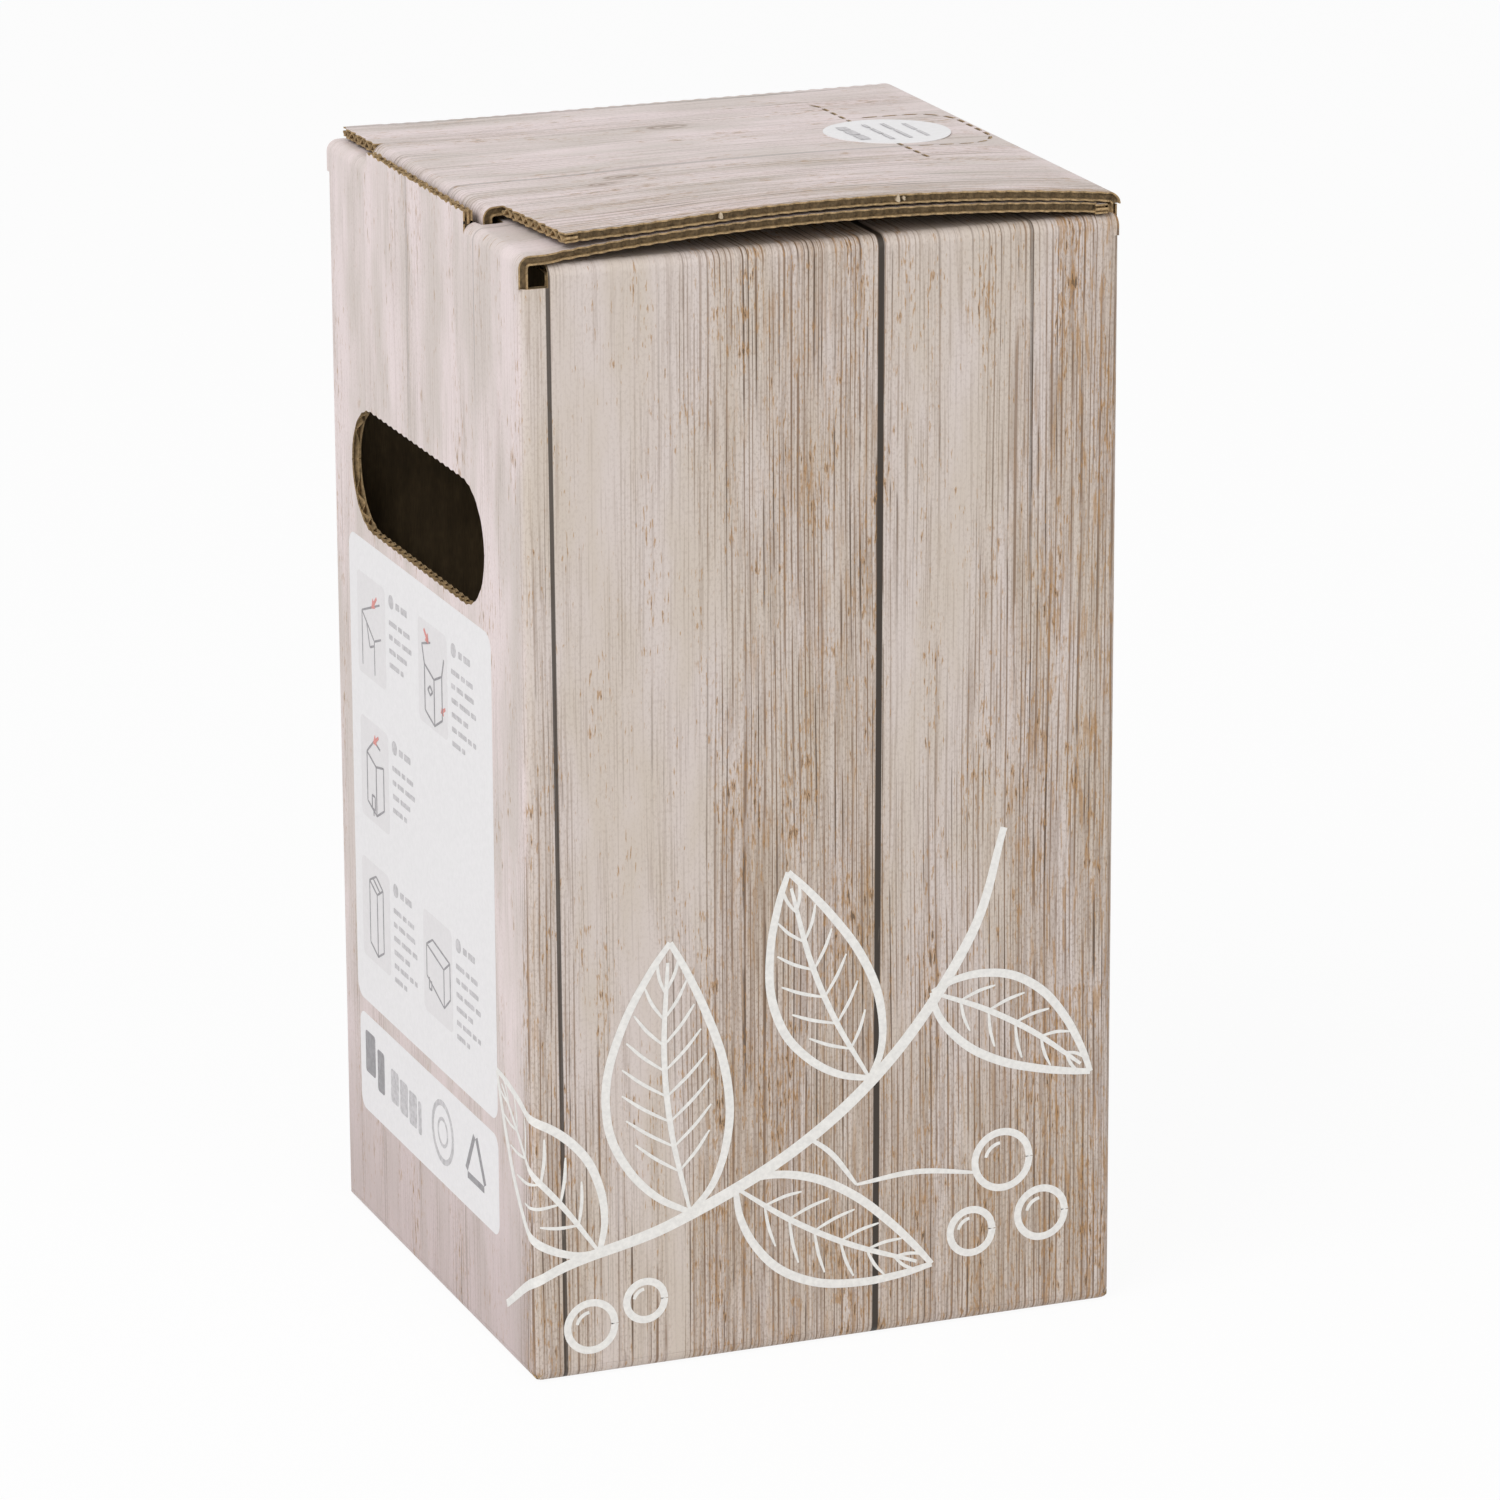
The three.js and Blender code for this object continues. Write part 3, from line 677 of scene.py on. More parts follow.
def build_top_flaps(c):
    flaps = Board()
    # Short flaps of front and back, turned in first
    start, end = c.left + c.board + 4, c.right - 0.5
    reach = 32
    for face, inward in ((c.front, 1), (c.back, -1)):
        corners = [(face, c.slot_level), (face, c.minor_top), (face + inward * reach, c.minor_top)]
        rows = folded(corners, -inward, c, 5.0)
        taper = np.clip((rows.p[:, 0] - face) * inward / reach, 0, 1) * 3
        across = c.on_front if inward > 0 else c.on_back
        uv = lambda s, t: (across(t), c.slot_level + s)
        ends = spread(start + taper, end - taper)
        flaps.layered(rows, ends, lambda a, b, t: (t, a, b), uv, 1, (0.5, 0.5))
    # Flap of the handle panel, which closes the mouth under the lid
    end = c.right - c.board - 0.7
    far = c.tab_face + c.board + c.tab_lean + 1.2
    corners = [(c.left, c.slot_level), (c.left, c.flap_top), (far, c.flap_top)]
    rows = folded(corners, -1, c, 0.5)
    behind = rows.p[:, 0] > c.left + c.fold + c.layer_gap
    place = lambda a, b, t: (a, t, b)
    uv = lambda s, t: (c.on_handle(t), c.slot_level + s)
    near_end = np.where(behind, c.shift - c.tab_half - 0.8, c.lip[0])
    far_end = np.where(behind, c.shift + c.tab_half + 0.8, c.lip[1])
    low, high = c.front + 0.6, c.back - 0.6
    # The flap is pressed up against the lid and takes most of its curl
    curled = lambda a, b, t: (a, t, b + 0.9 * lid_bow(a, t, c))
    flaps.layered(rows, spread(low, near_end), curled, uv, 8)
    flaps.layered(rows, spread(far_end, high), curled, uv, 8)
    radius, notch = c.notch_radius, c.notch_start
    plate_end = end - c.cell
    turns = notch + radius * (1 - np.cos(np.linspace(0, math.pi / 2, 12)))
    scallop = np.arange(far, plate_end, 0.55)
    stops = [float(x) for x in (*scallop, *turns, plate_end) if far <= x <= plate_end]
    stops = sorted({round(x, 3) for x in stops})
    rows = folded([(x, c.flap_top) for x in stops], -1, c, 1.0)
    x = rows.p[:, 0]
    into = np.clip(notch + radius - x, 0, radius)
    half = np.where(x < notch, 0, arc(radius, into))
    ripple = 0.3 * np.sin(2 * math.pi * x / c.pitch)
    base = c.flap_top - 2 * c.turn + far - c.left
    uv = lambda s, t: (c.on_handle(t), base + s)
    front_part = spread(low + 0.3 + ripple, c.door_shift - half)
    back_part = spread(c.door_shift + half, high - 0.3 - ripple)
    flaps.layered(rows, front_part, curled, uv, 18, (0.9, 0))
    flaps.layered(rows, back_part, curled, uv, 12, (0, 0.9))
    for a, b in ((low, c.door_shift - radius), (c.door_shift + radius, high)):
        y = edge_samples(a, b, c)
        printed = spread(end, y, c.flap_top)
        bare = printed - [0, 0, c.board]
        coordinates = spread(c.on_handle(y), base + end - far)
        flaps.fluted_end(printed, bare, np.array([-1.0, 0, 0]), coordinates, (0, -1), c)
    downward = np.array([0, 0, -1.0])
    # Lip left standing on the handle panel, fluted along its top edge
    rows = folded([(c.left, c.slot_level), (c.left, c.lip_top - c.cell)], -1, c, 3.0)
    uv = lambda s, t: (c.on_handle(t), c.slot_level + s)
    flaps.layered(rows, c.lip, place, uv, 1, (0.5, 0.5))
    y = edge_samples(*c.lip, c)
    crush = 0.12 * np.sin(y * 0.9) + 0.1 * np.sin(y * 2.3 + 1)
    top = c.lip_top - 0.3 + crush
    printed = spread(c.left, y, top)
    coordinates = spread(c.on_handle(y), top)
    flaps.fluted_end(printed, printed + [c.board, 0, 0], downward, coordinates, (0, -1), c)
    # Top edge of the hinge panel, just under the lid's fold
    level = c.hinge_level - 0.3
    inset = c.board + c.layer_gap
    rows = folded([(c.right, c.slot_level), (c.right, level - c.cell)], 1, c, 3.0)
    span = (c.front + inset, c.back - inset)
    hinge_uv = lambda s, t: (c.on_hinge(t), c.slot_level + s)
    flaps.sheet(rows, span, place, hinge_uv)
    y = edge_samples(*span, c)
    printed = spread(c.right, y, level)
    coordinates = spread(c.on_hinge(y), level)
    flaps.fluted_end(printed, printed - [c.board, 0, 0], downward, coordinates, (0, -1), c)
    return flaps


def build_bottom(c):
    base = Board()
    mitre, floor = 12, 0.03
    lift = c.board + c.layer_gap

    def flap(walk, side, face, span, place, across):
        """Fold and flap along a walk, its ends mitred and kept inside the rounded corners."""
        rows = folded(walk, side, c, 3.0)
        into = np.clip(np.abs(rows.p[:, 0] - face), 0, mitre)
        short = np.clip(c.fold - into, 0, None)
        rounded = c.fold - arc(c.fold, short)
        cut = np.maximum(0.4 + into, rounded)
        uv = lambda s, t: (across(t), c.fold - s)
        base.layered(rows, spread(span[0] + cut, span[1] - cut), place, uv, 1, (0.4, 0.4))

    # Outer flaps of handle and hinge side, which meet in the middle
    for way, across in ((1, c.on_handle), (-1, c.on_hinge)):
        face = way * c.left
        walk = [(face, c.fold), (face, floor), (way * -0.5, floor)]
        flap(walk, way, face, (c.front, c.back), lambda a, b, t: (a, t, b), across)
    # Walls carried down round the four corners, between the folds
    middle = (
        (c.left, c.front, math.pi, 0.0),
        (c.right, c.front, 1.5 * math.pi, (c.on_front(c.right) + c.on_hinge(c.front)) / 2),
        (c.right, c.back, 0.0, (c.on_hinge(c.back) + c.on_back(c.right)) / 2),
        (c.left, c.back, 0.5 * math.pi, c.on_back(c.left)),
    )
    turn = np.linspace(0, math.pi / 2, 9)
    dip = np.radians([68, 52, 36, 20, 0])[:, None]
    for x, y, start, u in middle:
        centre = [x - math.copysign(c.fold, x), y - math.copysign(c.fold, y)]
        skins = []
        for radius in (c.fold, c.fold - c.board):
            reach = radius * np.cos(dip)
            out_x, out_y = reach * np.cos(start + turn), reach * np.sin(start + turn)
            level = c.fold - radius * np.sin(dip)
            skins.append(spread(centre[0] + out_x, centre[1] + out_y, level))
        base.slab(*skins, spread(u + (turn - math.pi / 4) * c.fold, skins[0][..., 2]))
    # Inner flaps of front and back, which dip under the outer ones
    for way, across in ((1, c.on_front), (-1, c.on_back)):
        face = way * c.front
        walk = [(face, c.fold), (face, floor), (face + way * 3.5, floor)]
        walk += [(face + way * mitre, lift), (face + way * 50, lift)]
        flap(walk, way, face, (c.left, c.right), lambda a, b, t: (t, a, b), across)
    return base


def lid_bow(x, y, c):
    """Curl of the lid's front, as in the solid below."""
    start = c.tab_face + c.fold
    across = np.clip((x - start) / (c.right - c.fold - start), 0, 1)
    forward = np.clip((c.back - y) / (c.back - c.front), 0, 1)
    return c.bow * (1 - (2 * across - 1) ** 2) * forward**1.6


def lid_rise(x, y, c):
    """Curl of the lid, with the small lift where its fold springs up beside the tuck slot."""
    forward = np.clip((c.back - y) / (c.back - c.front), 0, 1)
    beside_slot = np.exp(-(((x - c.tab_face) / 16) ** 2))
    return lid_bow(x, y, c) + 1.3 * beside_slot * (0.25 + 0.75 * forward)


def lid_point(x, y, depth, c):
    """Point at a depth below the printed face of the lid."""
    return spread(x, y, c.lid_top + lid_rise(x, y, c) - depth)


def build_lid(c):
    lid = Board()
    outer, shoulder_line = c.left + 9.5, c.left + 7.5
    rear_line = c.left + 5.9
    front, back = c.front + 0.45, c.back - 1.45
    corners = [
        (c.right, c.hinge_level),
        (c.right, c.lid_top),
        (outer + c.cell, c.lid_top),
        (shoulder_line + c.cell, c.lid_top),
        (shoulder_line + c.cell - 0.02, c.lid_top),
        (rear_line + 0.02, c.lid_top),
        (rear_line, c.lid_top),
        (c.tab_face, c.lid_top),
        (c.tab_face + c.tab_lean, c.lid_top - c.tab_length),
    ]
    rows = folded(corners, 1, c, 0.55)
    x, z = rows.p[:, 0], rows.p[:, 1]
    near, far = c.shift - c.tab_half, c.shift + c.tab_half
    cut = np.clip((outer + c.cell - x) / (outer - shoulder_line), 0, 1)
    low = np.where(x < shoulder_line + c.cell - 0.01, near, front + (near - front) * cut)
    high = np.where(x < rear_line + 0.01, far, back)
    # Round lower corners of the tuck tab
    radius = 9.0
    drop = np.clip(radius - (z - (c.lid_top - c.tab_length)), 0, radius)
    inset = np.where(x < c.left + 20, radius - arc(radius, drop), 0)
    # The wave-cut rule leaves small scallops along the front and back edges
    ripple = np.where(x > outer + c.cell, 0.32 * (1 + np.sin(2 * math.pi * x / c.pitch)), 0)
    ends = spread(low + inset + ripple, high - inset - ripple)
    place = lambda a, b, t: (a, t, b + lid_rise(a, t, c))
    uv = lambda s, t: (c.on_hinge(t), c.hinge_level + s)
    lid.layered(rows, ends, place, uv, 26, (0.8, 0.8))
    # Open flutes along the two raw edges beside the tab
    for edge, shoulder, x0, x1 in (
        (front, near, outer, shoulder_line),
        (back, far, c.left + 3.2, c.left + 3.5),
    ):
        y = edge_samples(edge, shoulder, c)
        x = x0 + (x1 - x0) * (y - edge) / (shoulder - edge)
        crush = 0.15 * np.sin(y * 1.1)
        printed = lid_point(x + 0.15 + crush, y, 0, c)
        coordinates = spread(c.on_hinge(y), c.height - 2 * c.turn + c.right - x)
        bare = printed - [0, 0, c.board]
        inward = lid_point(x + 1.15 + crush, y, 0, c) - printed
        lid.fluted_end(printed, bare, inward, coordinates, (0, -1), c)
    return lid


def on_walls(c):
    """Function that finds the point on the printed walls for a place on the flat blank."""
    # Half of the printed length round the near corner's fold
    q = math.pi * c.fold / 4

    def place(u, v, lift):
        inner = np.clip(u, -q, q)
        angle = math.radians(225) + inner / q * math.pi / 4
        radius, along = c.fold + lift, u - inner
        x = c.left + c.fold + radius * np.cos(angle) - np.sin(angle) * along
        y = c.front + c.fold + radius * np.sin(angle) + np.cos(angle) * along
        return spread(x, y, v)

    return place


def smooth_path(points, step=1.2):
    """Evenly spaced points of a smooth curve through the given ones."""
    p = np.array(points, float)
    p = np.vstack([2 * p[0] - p[1], p, 2 * p[-1] - p[-2]])
    path = []
    for i in range(1, len(p) - 2):
        count = max(2, math.ceil(np.linalg.norm(p[i + 1] - p[i]) / step))
        for k in range(count):
            t = k / count
            a = 2 * p[i]
            b = p[i + 1] - p[i - 1]
            d = 2 * p[i - 1] - 5 * p[i] + 4 * p[i + 1] - p[i + 2]
            e = -p[i - 1] + 3 * p[i] - 3 * p[i + 1] + p[i + 2]
            path.append(0.5 * (a + b * t + d * t**2 + e * t**3))
    path.append(p[-2])
    return np.array(path)


def stroke(art, points, width, lift=0.04, kind=0, taper=0.35, step=1.2):
    """Inked line along a smooth path, thinner towards its ends."""
    # Fine enough near the fold at u = 0 to follow its curve
    ways = (-1, 0, 1)
    if np.abs(np.array(points)[:, 0]).min() < 10:
        step, ways = 0.5, np.linspace(-1, 1, 9)
    path = smooth_path(points, step)
    along = np.gradient(path, axis=0)
    along /= np.maximum(np.linalg.norm(along, axis=1, keepdims=True), 1e-9)
    across = np.stack([-along[:, 1], along[:, 0]], 1)
    t = np.clip(np.linspace(0, 1, len(path)), 0.02, 0.98)
    half = width / 2 * (taper + (1 - taper) * np.sqrt(np.sin(math.pi * t)))
    flat = np.stack([path + across * half[:, None] * way for way in ways])
    art.inked(flat, lift + art.ink_layer(), kind)


def circle(centre, radius, start, end, count):
    """Points along an arc."""
    turns = np.linspace(start, end, count)
    return [(centre[0] + radius * math.cos(a), centre[1] + radius * math.sin(a)) for a in turns]


def field(art, u0, u1, v0, v1, radius, lift=0.045, kind=0):
    """Printed field with rounded corners."""
    rows = [v0 + radius * (1 - math.cos(a)) for a in np.linspace(0, math.pi / 2, 7)]
    levels = rows + [v1 - (r - v0) for r in reversed(rows)]
    grid = []
    for v in levels:
        into = max(0.0, radius - min(v - v0, v1 - v))
        inset = radius - arc(radius, into)
        grid.append([(u0 + inset + (u1 - u0 - 2 * inset) * k / 8, v) for k in range(9)])
    art.inked(np.array(grid), lift + art.ink_layer() * 0.2, kind)


def leaf(art, base, tip, width, bulge=1.0, veins=6):
    """Broad leaf drawn in outline, with a midrib and veins."""
    base, tip = np.array(base, float), np.array(tip, float)
    axis = tip - base
    side = np.array([-axis[1], axis[0]]) / np.linalg.norm(axis)
    bow = side * width * 0.12 * bulge
    centre = lambda t: base + axis * t + bow * 4 * t * (1 - t)
    for way in (-1, 1):
        edge = [
            centre(t) + side * way * width / 2 * math.sin(math.pi * t**0.8) ** 0.9
            for t in (0.0, 0.08, 0.2, 0.36, 0.55, 0.74, 0.9, 1.0)
        ]
        stroke(art, edge, 1.9, taper=0.55)
        for k in range(veins):
            t = 0.16 + 0.66 * k / max(1, veins - 1)
            reach = width * 0.36 * math.sin(math.pi * (t + 0.08) ** 0.8)
            root = centre(t)
            far = centre(min(1.0, t + 0.13)) + side * way * reach
            middle = (root + far) / 2 + side * way * 0.5
            stroke(art, [root, middle, far], 0.75, taper=0.3)
    stroke(art, [centre(t) for t in (0.0, 0.3, 0.6, 0.93)], 1.3, taper=0.4)


def berry(art, centre, radius):
    """Round berry: a ring with one short shine mark."""
    stroke(art, circle(centre, radius, 0, 2 * math.pi, 15), 1.6, taper=1.0)
    stroke(art, circle(centre, radius * 0.62, 1.7, 2.9, 6), 0.8, taper=0.8)


def build_front_art(c):
    """Generic leafy twig with berries, in white line."""
    art = Board(on_walls(c))
    twig = [(-16, 12), (4, 24), (30, 31), (58, 44), (80, 62), (97, 86), (104, 108)]
    stroke(art, twig, 2.6, taper=0.5)
    leaf(art, (14, 27), (-20, 62), 21, -1.0)
    leaf(art, (34, 33), (30, 92), 27, 1.0, 8)
    leaf(art, (44, 37), (88, 14), 21, -1.0)
    leaf(art, (74, 57), (56, 104), 22)
    leaf(art, (88, 74), (124, 52), 18, 1.0, 5)
    for stem in ([(60, 46), (65.5, 41.5), (71, 34)], [(71, 34), (84.5, 35), (98, 33)]):
        stroke(art, stem, 1.2)
    berries = ((104, 35), 6.2), ((113, 22), 5.4), ((97, 20), 4.8), ((12, 11), 5.2), ((24, 15), 4.2)
    for centre, radius in berries:
        berry(art, centre, radius)
    return art


# Small drawings: name, distance of the near edge from the front, level of its foot
DRAWN_STEPS = (
    ("flap", 106.5, 125),
    ("open", 66.5, 125),
    ("tap", 106, 93),
    ("upright", 107, 61),
    ("lying", 66.5, 61),
)

# Strokes of each drawing, in millimetres from its near foot
SKETCHES = {
    "flap": (
        ((3, 2), (3, 14), (15, 18)),
        ((3, 14), (11, 9), (15.5, 10.5)),
        ((11, 9), (11, 1.5)),
        ((6, 12), (8, 7), (11, 8)),
    ),
    "open": (
        ((4, 13), (4, 3), (10, 1), (15, 3.5), (15, 13)),
        ((4, 13), (10, 11), (15, 13)),
        ((10, 11), (10, 1)),
        ((4, 13), (2.5, 17), (8, 18.5)),
        ((15, 13), (16.5, 17)),
        ((6, 8), (7.5, 9), (9, 8), (7.5, 7), (6, 8)),
    ),
    "tap": (
        ((4, 15), (4, 4), (10, 2), (15, 4.5), (15, 14)),
        ((4, 15), (10, 13), (15, 14)),
        ((10, 13), (10, 2)),
        ((4, 15), (9, 18.5), (13, 17.5)),
        ((7, 6), (7, 3), (9, 3), (9, 6), (7, 6)),
        ((8, 3), (8, 1.5)),
    ),
    "upright": (
        ((5, 18), (5, 4), (10, 2), (14, 4), (14, 18)),
        ((5, 18), (10, 16), (14, 18), (9.5, 20), (5, 18)),
        ((10, 16), (10, 2)),
        ((7.5, 19), (12, 17)),
    ),
    "lying": (
        ((2, 15), (2, 8), (13, 4), (17, 7), (17, 15)),
        ((2, 15), (13, 12.5), (17, 15), (6, 17), (2, 15)),
        ((13, 12.5), (13, 4)),
        ((3.5, 8), (3.5, 5.5), (5, 5.5), (5, 7.5)),
    ),
}

# Blocks: start across, width, level, height and ink
BLOCKS = (
    (107, 6.5, 34, 9.5, SKETCH),
    (99, 4.5, 32, 9.5, SKETCH),
    (90, 5.0, 32.5, 7.5, GREY),
    (84, 5.0, 32.0, 7.5, GREY),
    (78, 5.0, 31.5, 7.5, GREY),
    (72, 2.0, 31.0, 7.5, GREY),
)

# Arrows of a drawing: start across and up, then reach across and up
ARROWS = {
    "flap": ((13, 19, -3.5, -3),),
    "open": ((4, 20.5, 3, -2.5), (17, 6.5, -3, -1.5)),
    "tap": ((12, 20, -3.5, -2),),
}


def arrow(art, start, reach):
    """Small red arrow: a stem that widens to a head and ends in a point."""
    start, reach = np.array(start, float), np.array(reach, float)
    side = np.array([-reach[1], reach[0]]) / np.linalg.norm(reach)
    rows = [(0.0, 0.35), (0.5, 0.45), (0.52, 1.25), (1.0, 0.05)]
    flat = [[start + reach * t + side * half * way for way in (-1, 0, 1)] for t, half in rows]
    art.inked(np.array(flat), 0.045 + art.ink_layer(), RED)


def bars(art, start, width, level, height, first):
    """Row of grey bars in the place of a line of text."""
    lengths = (5.2, 2.4, 4.1, 6.3, 3.0)
    done, k = 0.0, first
    while done < width - 1.5:
        length = min(lengths[k % len(lengths)], width - done)
        field(art, start + done, start + done + length, level, level + height, 0.3, kind=GREY)
        done += length + 0.9
        k += 1


def build_instructions(c):
    """White fields with pale drawings, grey bars and small red arrows."""
    art = Board(on_walls(c))
    spot = lambda y: c.turn - y
    field(art, spot(111.5), spot(20.5), 50.5, 155, 3.5, 0.015, PANEL)
    field(art, spot(110.5), spot(20.5), 25, 47.3, 3.0, 0.015, PANEL)
    for name, y0, z0 in DRAWN_STEPS:
        field(art, spot(y0), spot(y0 - 18.5), z0, z0 + 22.5, 1.6, 0.03, ICON)
        for line in SKETCHES[name]:
            path = [(spot(y0 - x), z0 + z) for x, z in line]
            for start, end in zip(path, path[1:]):
                middle = ((start[0] + end[0]) / 2, (start[1] + end[1]) / 2)
                stroke(art, [start, middle, end], 0.5, 0.045, SKETCH, 0.8)
        for x, z, *reach in ARROWS.get(name, ()):
            arrow(art, (spot(y0 - x), z0 + z), reach)
        near = spot(y0 - 21)
        field(art, near, near + 3.2, z0 + 19.2, z0 + 22.2, 1.4, kind=GREY)
        bars(art, near + 4.6, 7.4, z0 + 19.8, 1.5, 1)
        widths = (15.5, 14, 16, 12.5, 15, 8) if y0 < 80 or z0 < 80 else (13.5, 15, 12, 9)
        for k, width in enumerate(widths):
            bars(art, near, width, z0 + 15.4 - k * 3.1, 1.1, k)
    # Blocks, a ring and a triangle where the real field has its size, name and signs
    for start, width, level, height, kind in BLOCKS:
        field(art, spot(start), spot(start - width), level, level + height, 0.8, kind=kind)
    for radius, width in ((6.5, 1.3), (3.0, 0.8)):
        ring = circle((spot(56), 36.5), radius, 0, 2 * math.pi, 17)
        stroke(art, ring, width, 0.045, GREY, 1.0)
    corners = np.array([(spot(35), 43.5), (spot(41.5), 32.5), (spot(28.5), 32.5)])
    for a, b in zip(corners, np.roll(corners, -1, 0)):
        stroke(art, [a + (b - a) * k for k in (0.1, 0.5, 0.9)], 1.5, 0.045, SKETCH, 1.0)
    return art


def on_lid(c):
    return lambda x, y, lift: lid_point(x, y, -lift, c)


def door_path(c):
    """Tongue of the tap door on the lid, open towards the tear line."""
    near, far = c.door_shift - c.door_half, c.door_shift + c.door_half
    end, r = c.door_line + c.door_length, c.door_radius
    path = [(c.door_line + 2.5, near), (end - r, near)]
    path += circle((end - r, near + r), r, 0.2 - math.pi / 2, 1.57 - math.pi / 2, 7)
    path += circle((end - r, far - r), r, 0, 1.57, 8)
    return path + [(c.door_line + 2.5, far)]


def tear_path(c):
    """Tear line across the door's root, hooked at its rear end."""
    near, rear = c.door_shift - c.tear_half, c.door_shift + c.tear_half
    path = [(c.door_line, near), (c.door_line, c.door_shift), (c.door_line, rear)]
    return path + circle((c.door_line - c.tear_hook, rear), c.tear_hook, 0.3, 1.57, 5)


def build_perforation(c):
    """Short knife cuts on the lid, each a thin dark plate of painted shade with its pressed lip,
    and torn nicks.
    """
    cuts = Board(on_lid(c))
    for path in (door_path(c), tear_path(c)):
        dense = []
        for a, b in zip(path, path[1:]):
            a, b = np.array(a), np.array(b)
            count = max(1, round(np.linalg.norm(b - a) / 0.5))
            dense += [a + (b - a) * k / count for k in range(count)]
        dense = np.array(dense + [path[-1]])
        steps = np.linalg.norm(np.diff(dense, axis=0), axis=1)
        run = np.concatenate([[0], np.cumsum(steps)])
        for start in np.arange(0.8, run[-1] - 3, 4.6):
            s = np.linspace(start, start + 3.0, 5)
            points = np.stack([np.interp(s, run, dense[:, k]) for k in (0, 1)], 1)
            # Painted shade of the slit: a thin dark plate in the shaded kraft, not a cut through
            # the board
            stroke(cuts, points, 0.5, 0.012, 0, 0.2, 0.6)
            stroke(cuts, points + [0.42, 0.02], 0.42, 0.05, 1, 0.2, 0.6)
    # Fibre torn out of the front edge where two nicks held the blank in its die
    turns = np.linspace(0, 2 * math.pi, 13)[:, None]
    reach = np.linspace(0.05, 1, 4)[None, :]
    for x, width, height in ((-22.0, 0.7, 1.3), (16.0, 0.8, 1.6), (17.3, 0.5, 0.8)):
        across = x + reach * width / 2 * np.cos(turns) * (1 + 0.3 * np.sin(5 * turns + x))
        up = -0.9 + reach * height / 2 * np.sin(turns) * (1 + 0.25 * np.sin(3 * turns + x))
        face = lid_point(across, np.full_like(across, c.front + 0.42), -up, c)
        cuts.slab(face, face + [0, 0.9, 0], spread(across, up), 2)
    return cuts


def build_seal(c):
    """Round label, one edge lifted a little, with grey bars where the real one is lettered."""
    seal = Board(on_lid(c))
    centre, radius = (c.door_line + 3, c.door_shift), 13.5
    turns = np.linspace(0, 2 * math.pi, 73)[:, None]
    reach = radius * np.linspace(0.001, 1, 9)[None, :]
    x, y = centre[0] + reach * np.cos(turns), centre[1] + reach * np.sin(turns)
    rise = 0.25 * np.clip((x - centre[0]) / radius, 0, 1) ** 3
    seal.slab(seal.place(x, y, 0.12 + rise), seal.place(x, y, rise), spread(x, y), 0)
    for x, lengths, width in (
        (-7.6, ((-7.2, -2.4), (-1.6, 3.2), (4.0, 7.4)), 2.4),
        (-2.0, ((-8.5, -3.0), (-2.2, 4.0), (4.9, 8.4)), 1.0),
        (2.2, ((-8.0, 1.0), (1.9, 8.2)), 1.0),
        (6.6, ((-6.8, -1.0), (0.0, 6.9)), 1.0),
    ):
        for low, high in lengths:
            points = [(centre[0] + x, centre[1] + y) for y in np.linspace(low, high, 4)]
            stroke(seal, points, width, 0.22, 1, 0.92)
    return seal


class CARTON_OT_walls(bpy.types.Operator):
    """Folded walls of printed board, with the hand hole and the glue lap"""

    bl_idname = "carton.walls"
    bl_label = "Walls"

    def execute(self, context):
        build_walls(carton()).piece("carton_walls", "carton_body", board_finishes(), ("carton",))
        return {"FINISHED"}


class CARTON_OT_top_flaps(bpy.types.Operator):
    """Top folds, the flaps under the lid and the standing lip"""

    bl_idname = "carton.top_flaps"
    bl_label = "Top flaps"

    def execute(self, context):
        flaps = build_top_flaps(carton())
        flaps.piece("carton_top_flaps", "carton_body", board_finishes(), ("carton",))
        return {"FINISHED"}


class CARTON_OT_bottom_flaps(bpy.types.Operator):
    """Glued bottom flaps with mitred corners"""

    bl_idname = "carton.bottom_flaps"
    bl_label = "Bottom flaps"

    def execute(self, context):
        flaps = build_bottom(carton())
        flaps.piece("carton_bottom_flaps", "carton_body", board_finishes(), ("carton",))
        return {"FINISHED"}


class CARTON_OT_lid(bpy.types.Operator):
    """Curled lid with its fold, tuck tab and raw edges"""

    bl_idname = "carton.lid"
    bl_label = "Lid"

    def execute(self, context):
        lid = build_lid(carton())
        lid.piece("lid_board", "lid_body", board_finishes(), ("lid",), "printed_lid_board")
        return {"FINISHED"}


class CARTON_OT_front_art(bpy.types.Operator):
    """White line drawing of a leafy twig across the lower front"""

    bl_idname = "carton.front_art"
    bl_label = "Front drawing"

    def execute(self, context):
        build_front_art(carton()).piece("front_line_print", "carton_body", [finish("line")])
        return {"FINISHED"}


class CARTON_OT_instructions(bpy.types.Operator):
    """White fields with small drawings and grey bars on the handle side"""

    bl_idname = "carton.instructions"
    bl_label = "Instruction print"

    def execute(self, context):
        inks = [finish(name) for name in ("panel", "icon", "grey", "red", "sketch")]
        build_instructions(carton()).piece("instruction_print", "carton_body", inks)
        return {"FINISHED"}


class CARTON_OT_perforation(bpy.types.Operator):
    """Knife cuts of the tap door and its tear line, their slits in painted shade"""

    bl_idname = "carton.perforation"
    bl_label = "Perforation"

    def execute(self, context):
        inks = [finish("core"), finish("cut"), finish("nick")]
        cuts = build_perforation(carton())
        cuts.piece("lid_perforation", "lid_body", inks, (), "printed_lid_board")
        return {"FINISHED"}


class CARTON_OT_seal(bpy.types.Operator):
    """Round paper label over the tap door"""

    bl_idname = "carton.seal"
    bl_label = "Seal"

    def execute(self, context):
        papers = [finish("label"), finish("grey")]
        seal = build_seal(carton())
        seal.piece("opening_seal", "lid_body", papers, ("opening_label",), "label_paper")
        return {"FINISHED"}


def seen_directly(tree):
    """One for camera rays and for what they see by reflection or transmission, else zero."""
    ray = add_node(tree, "LightPath", output="Is Camera Ray")
    seen = ray.into("Math", ray.output("Is Glossy Ray"), operation="MAXIMUM")
    return seen.into("Math", ray.output("Is Transmission Ray"), operation="MAXIMUM")


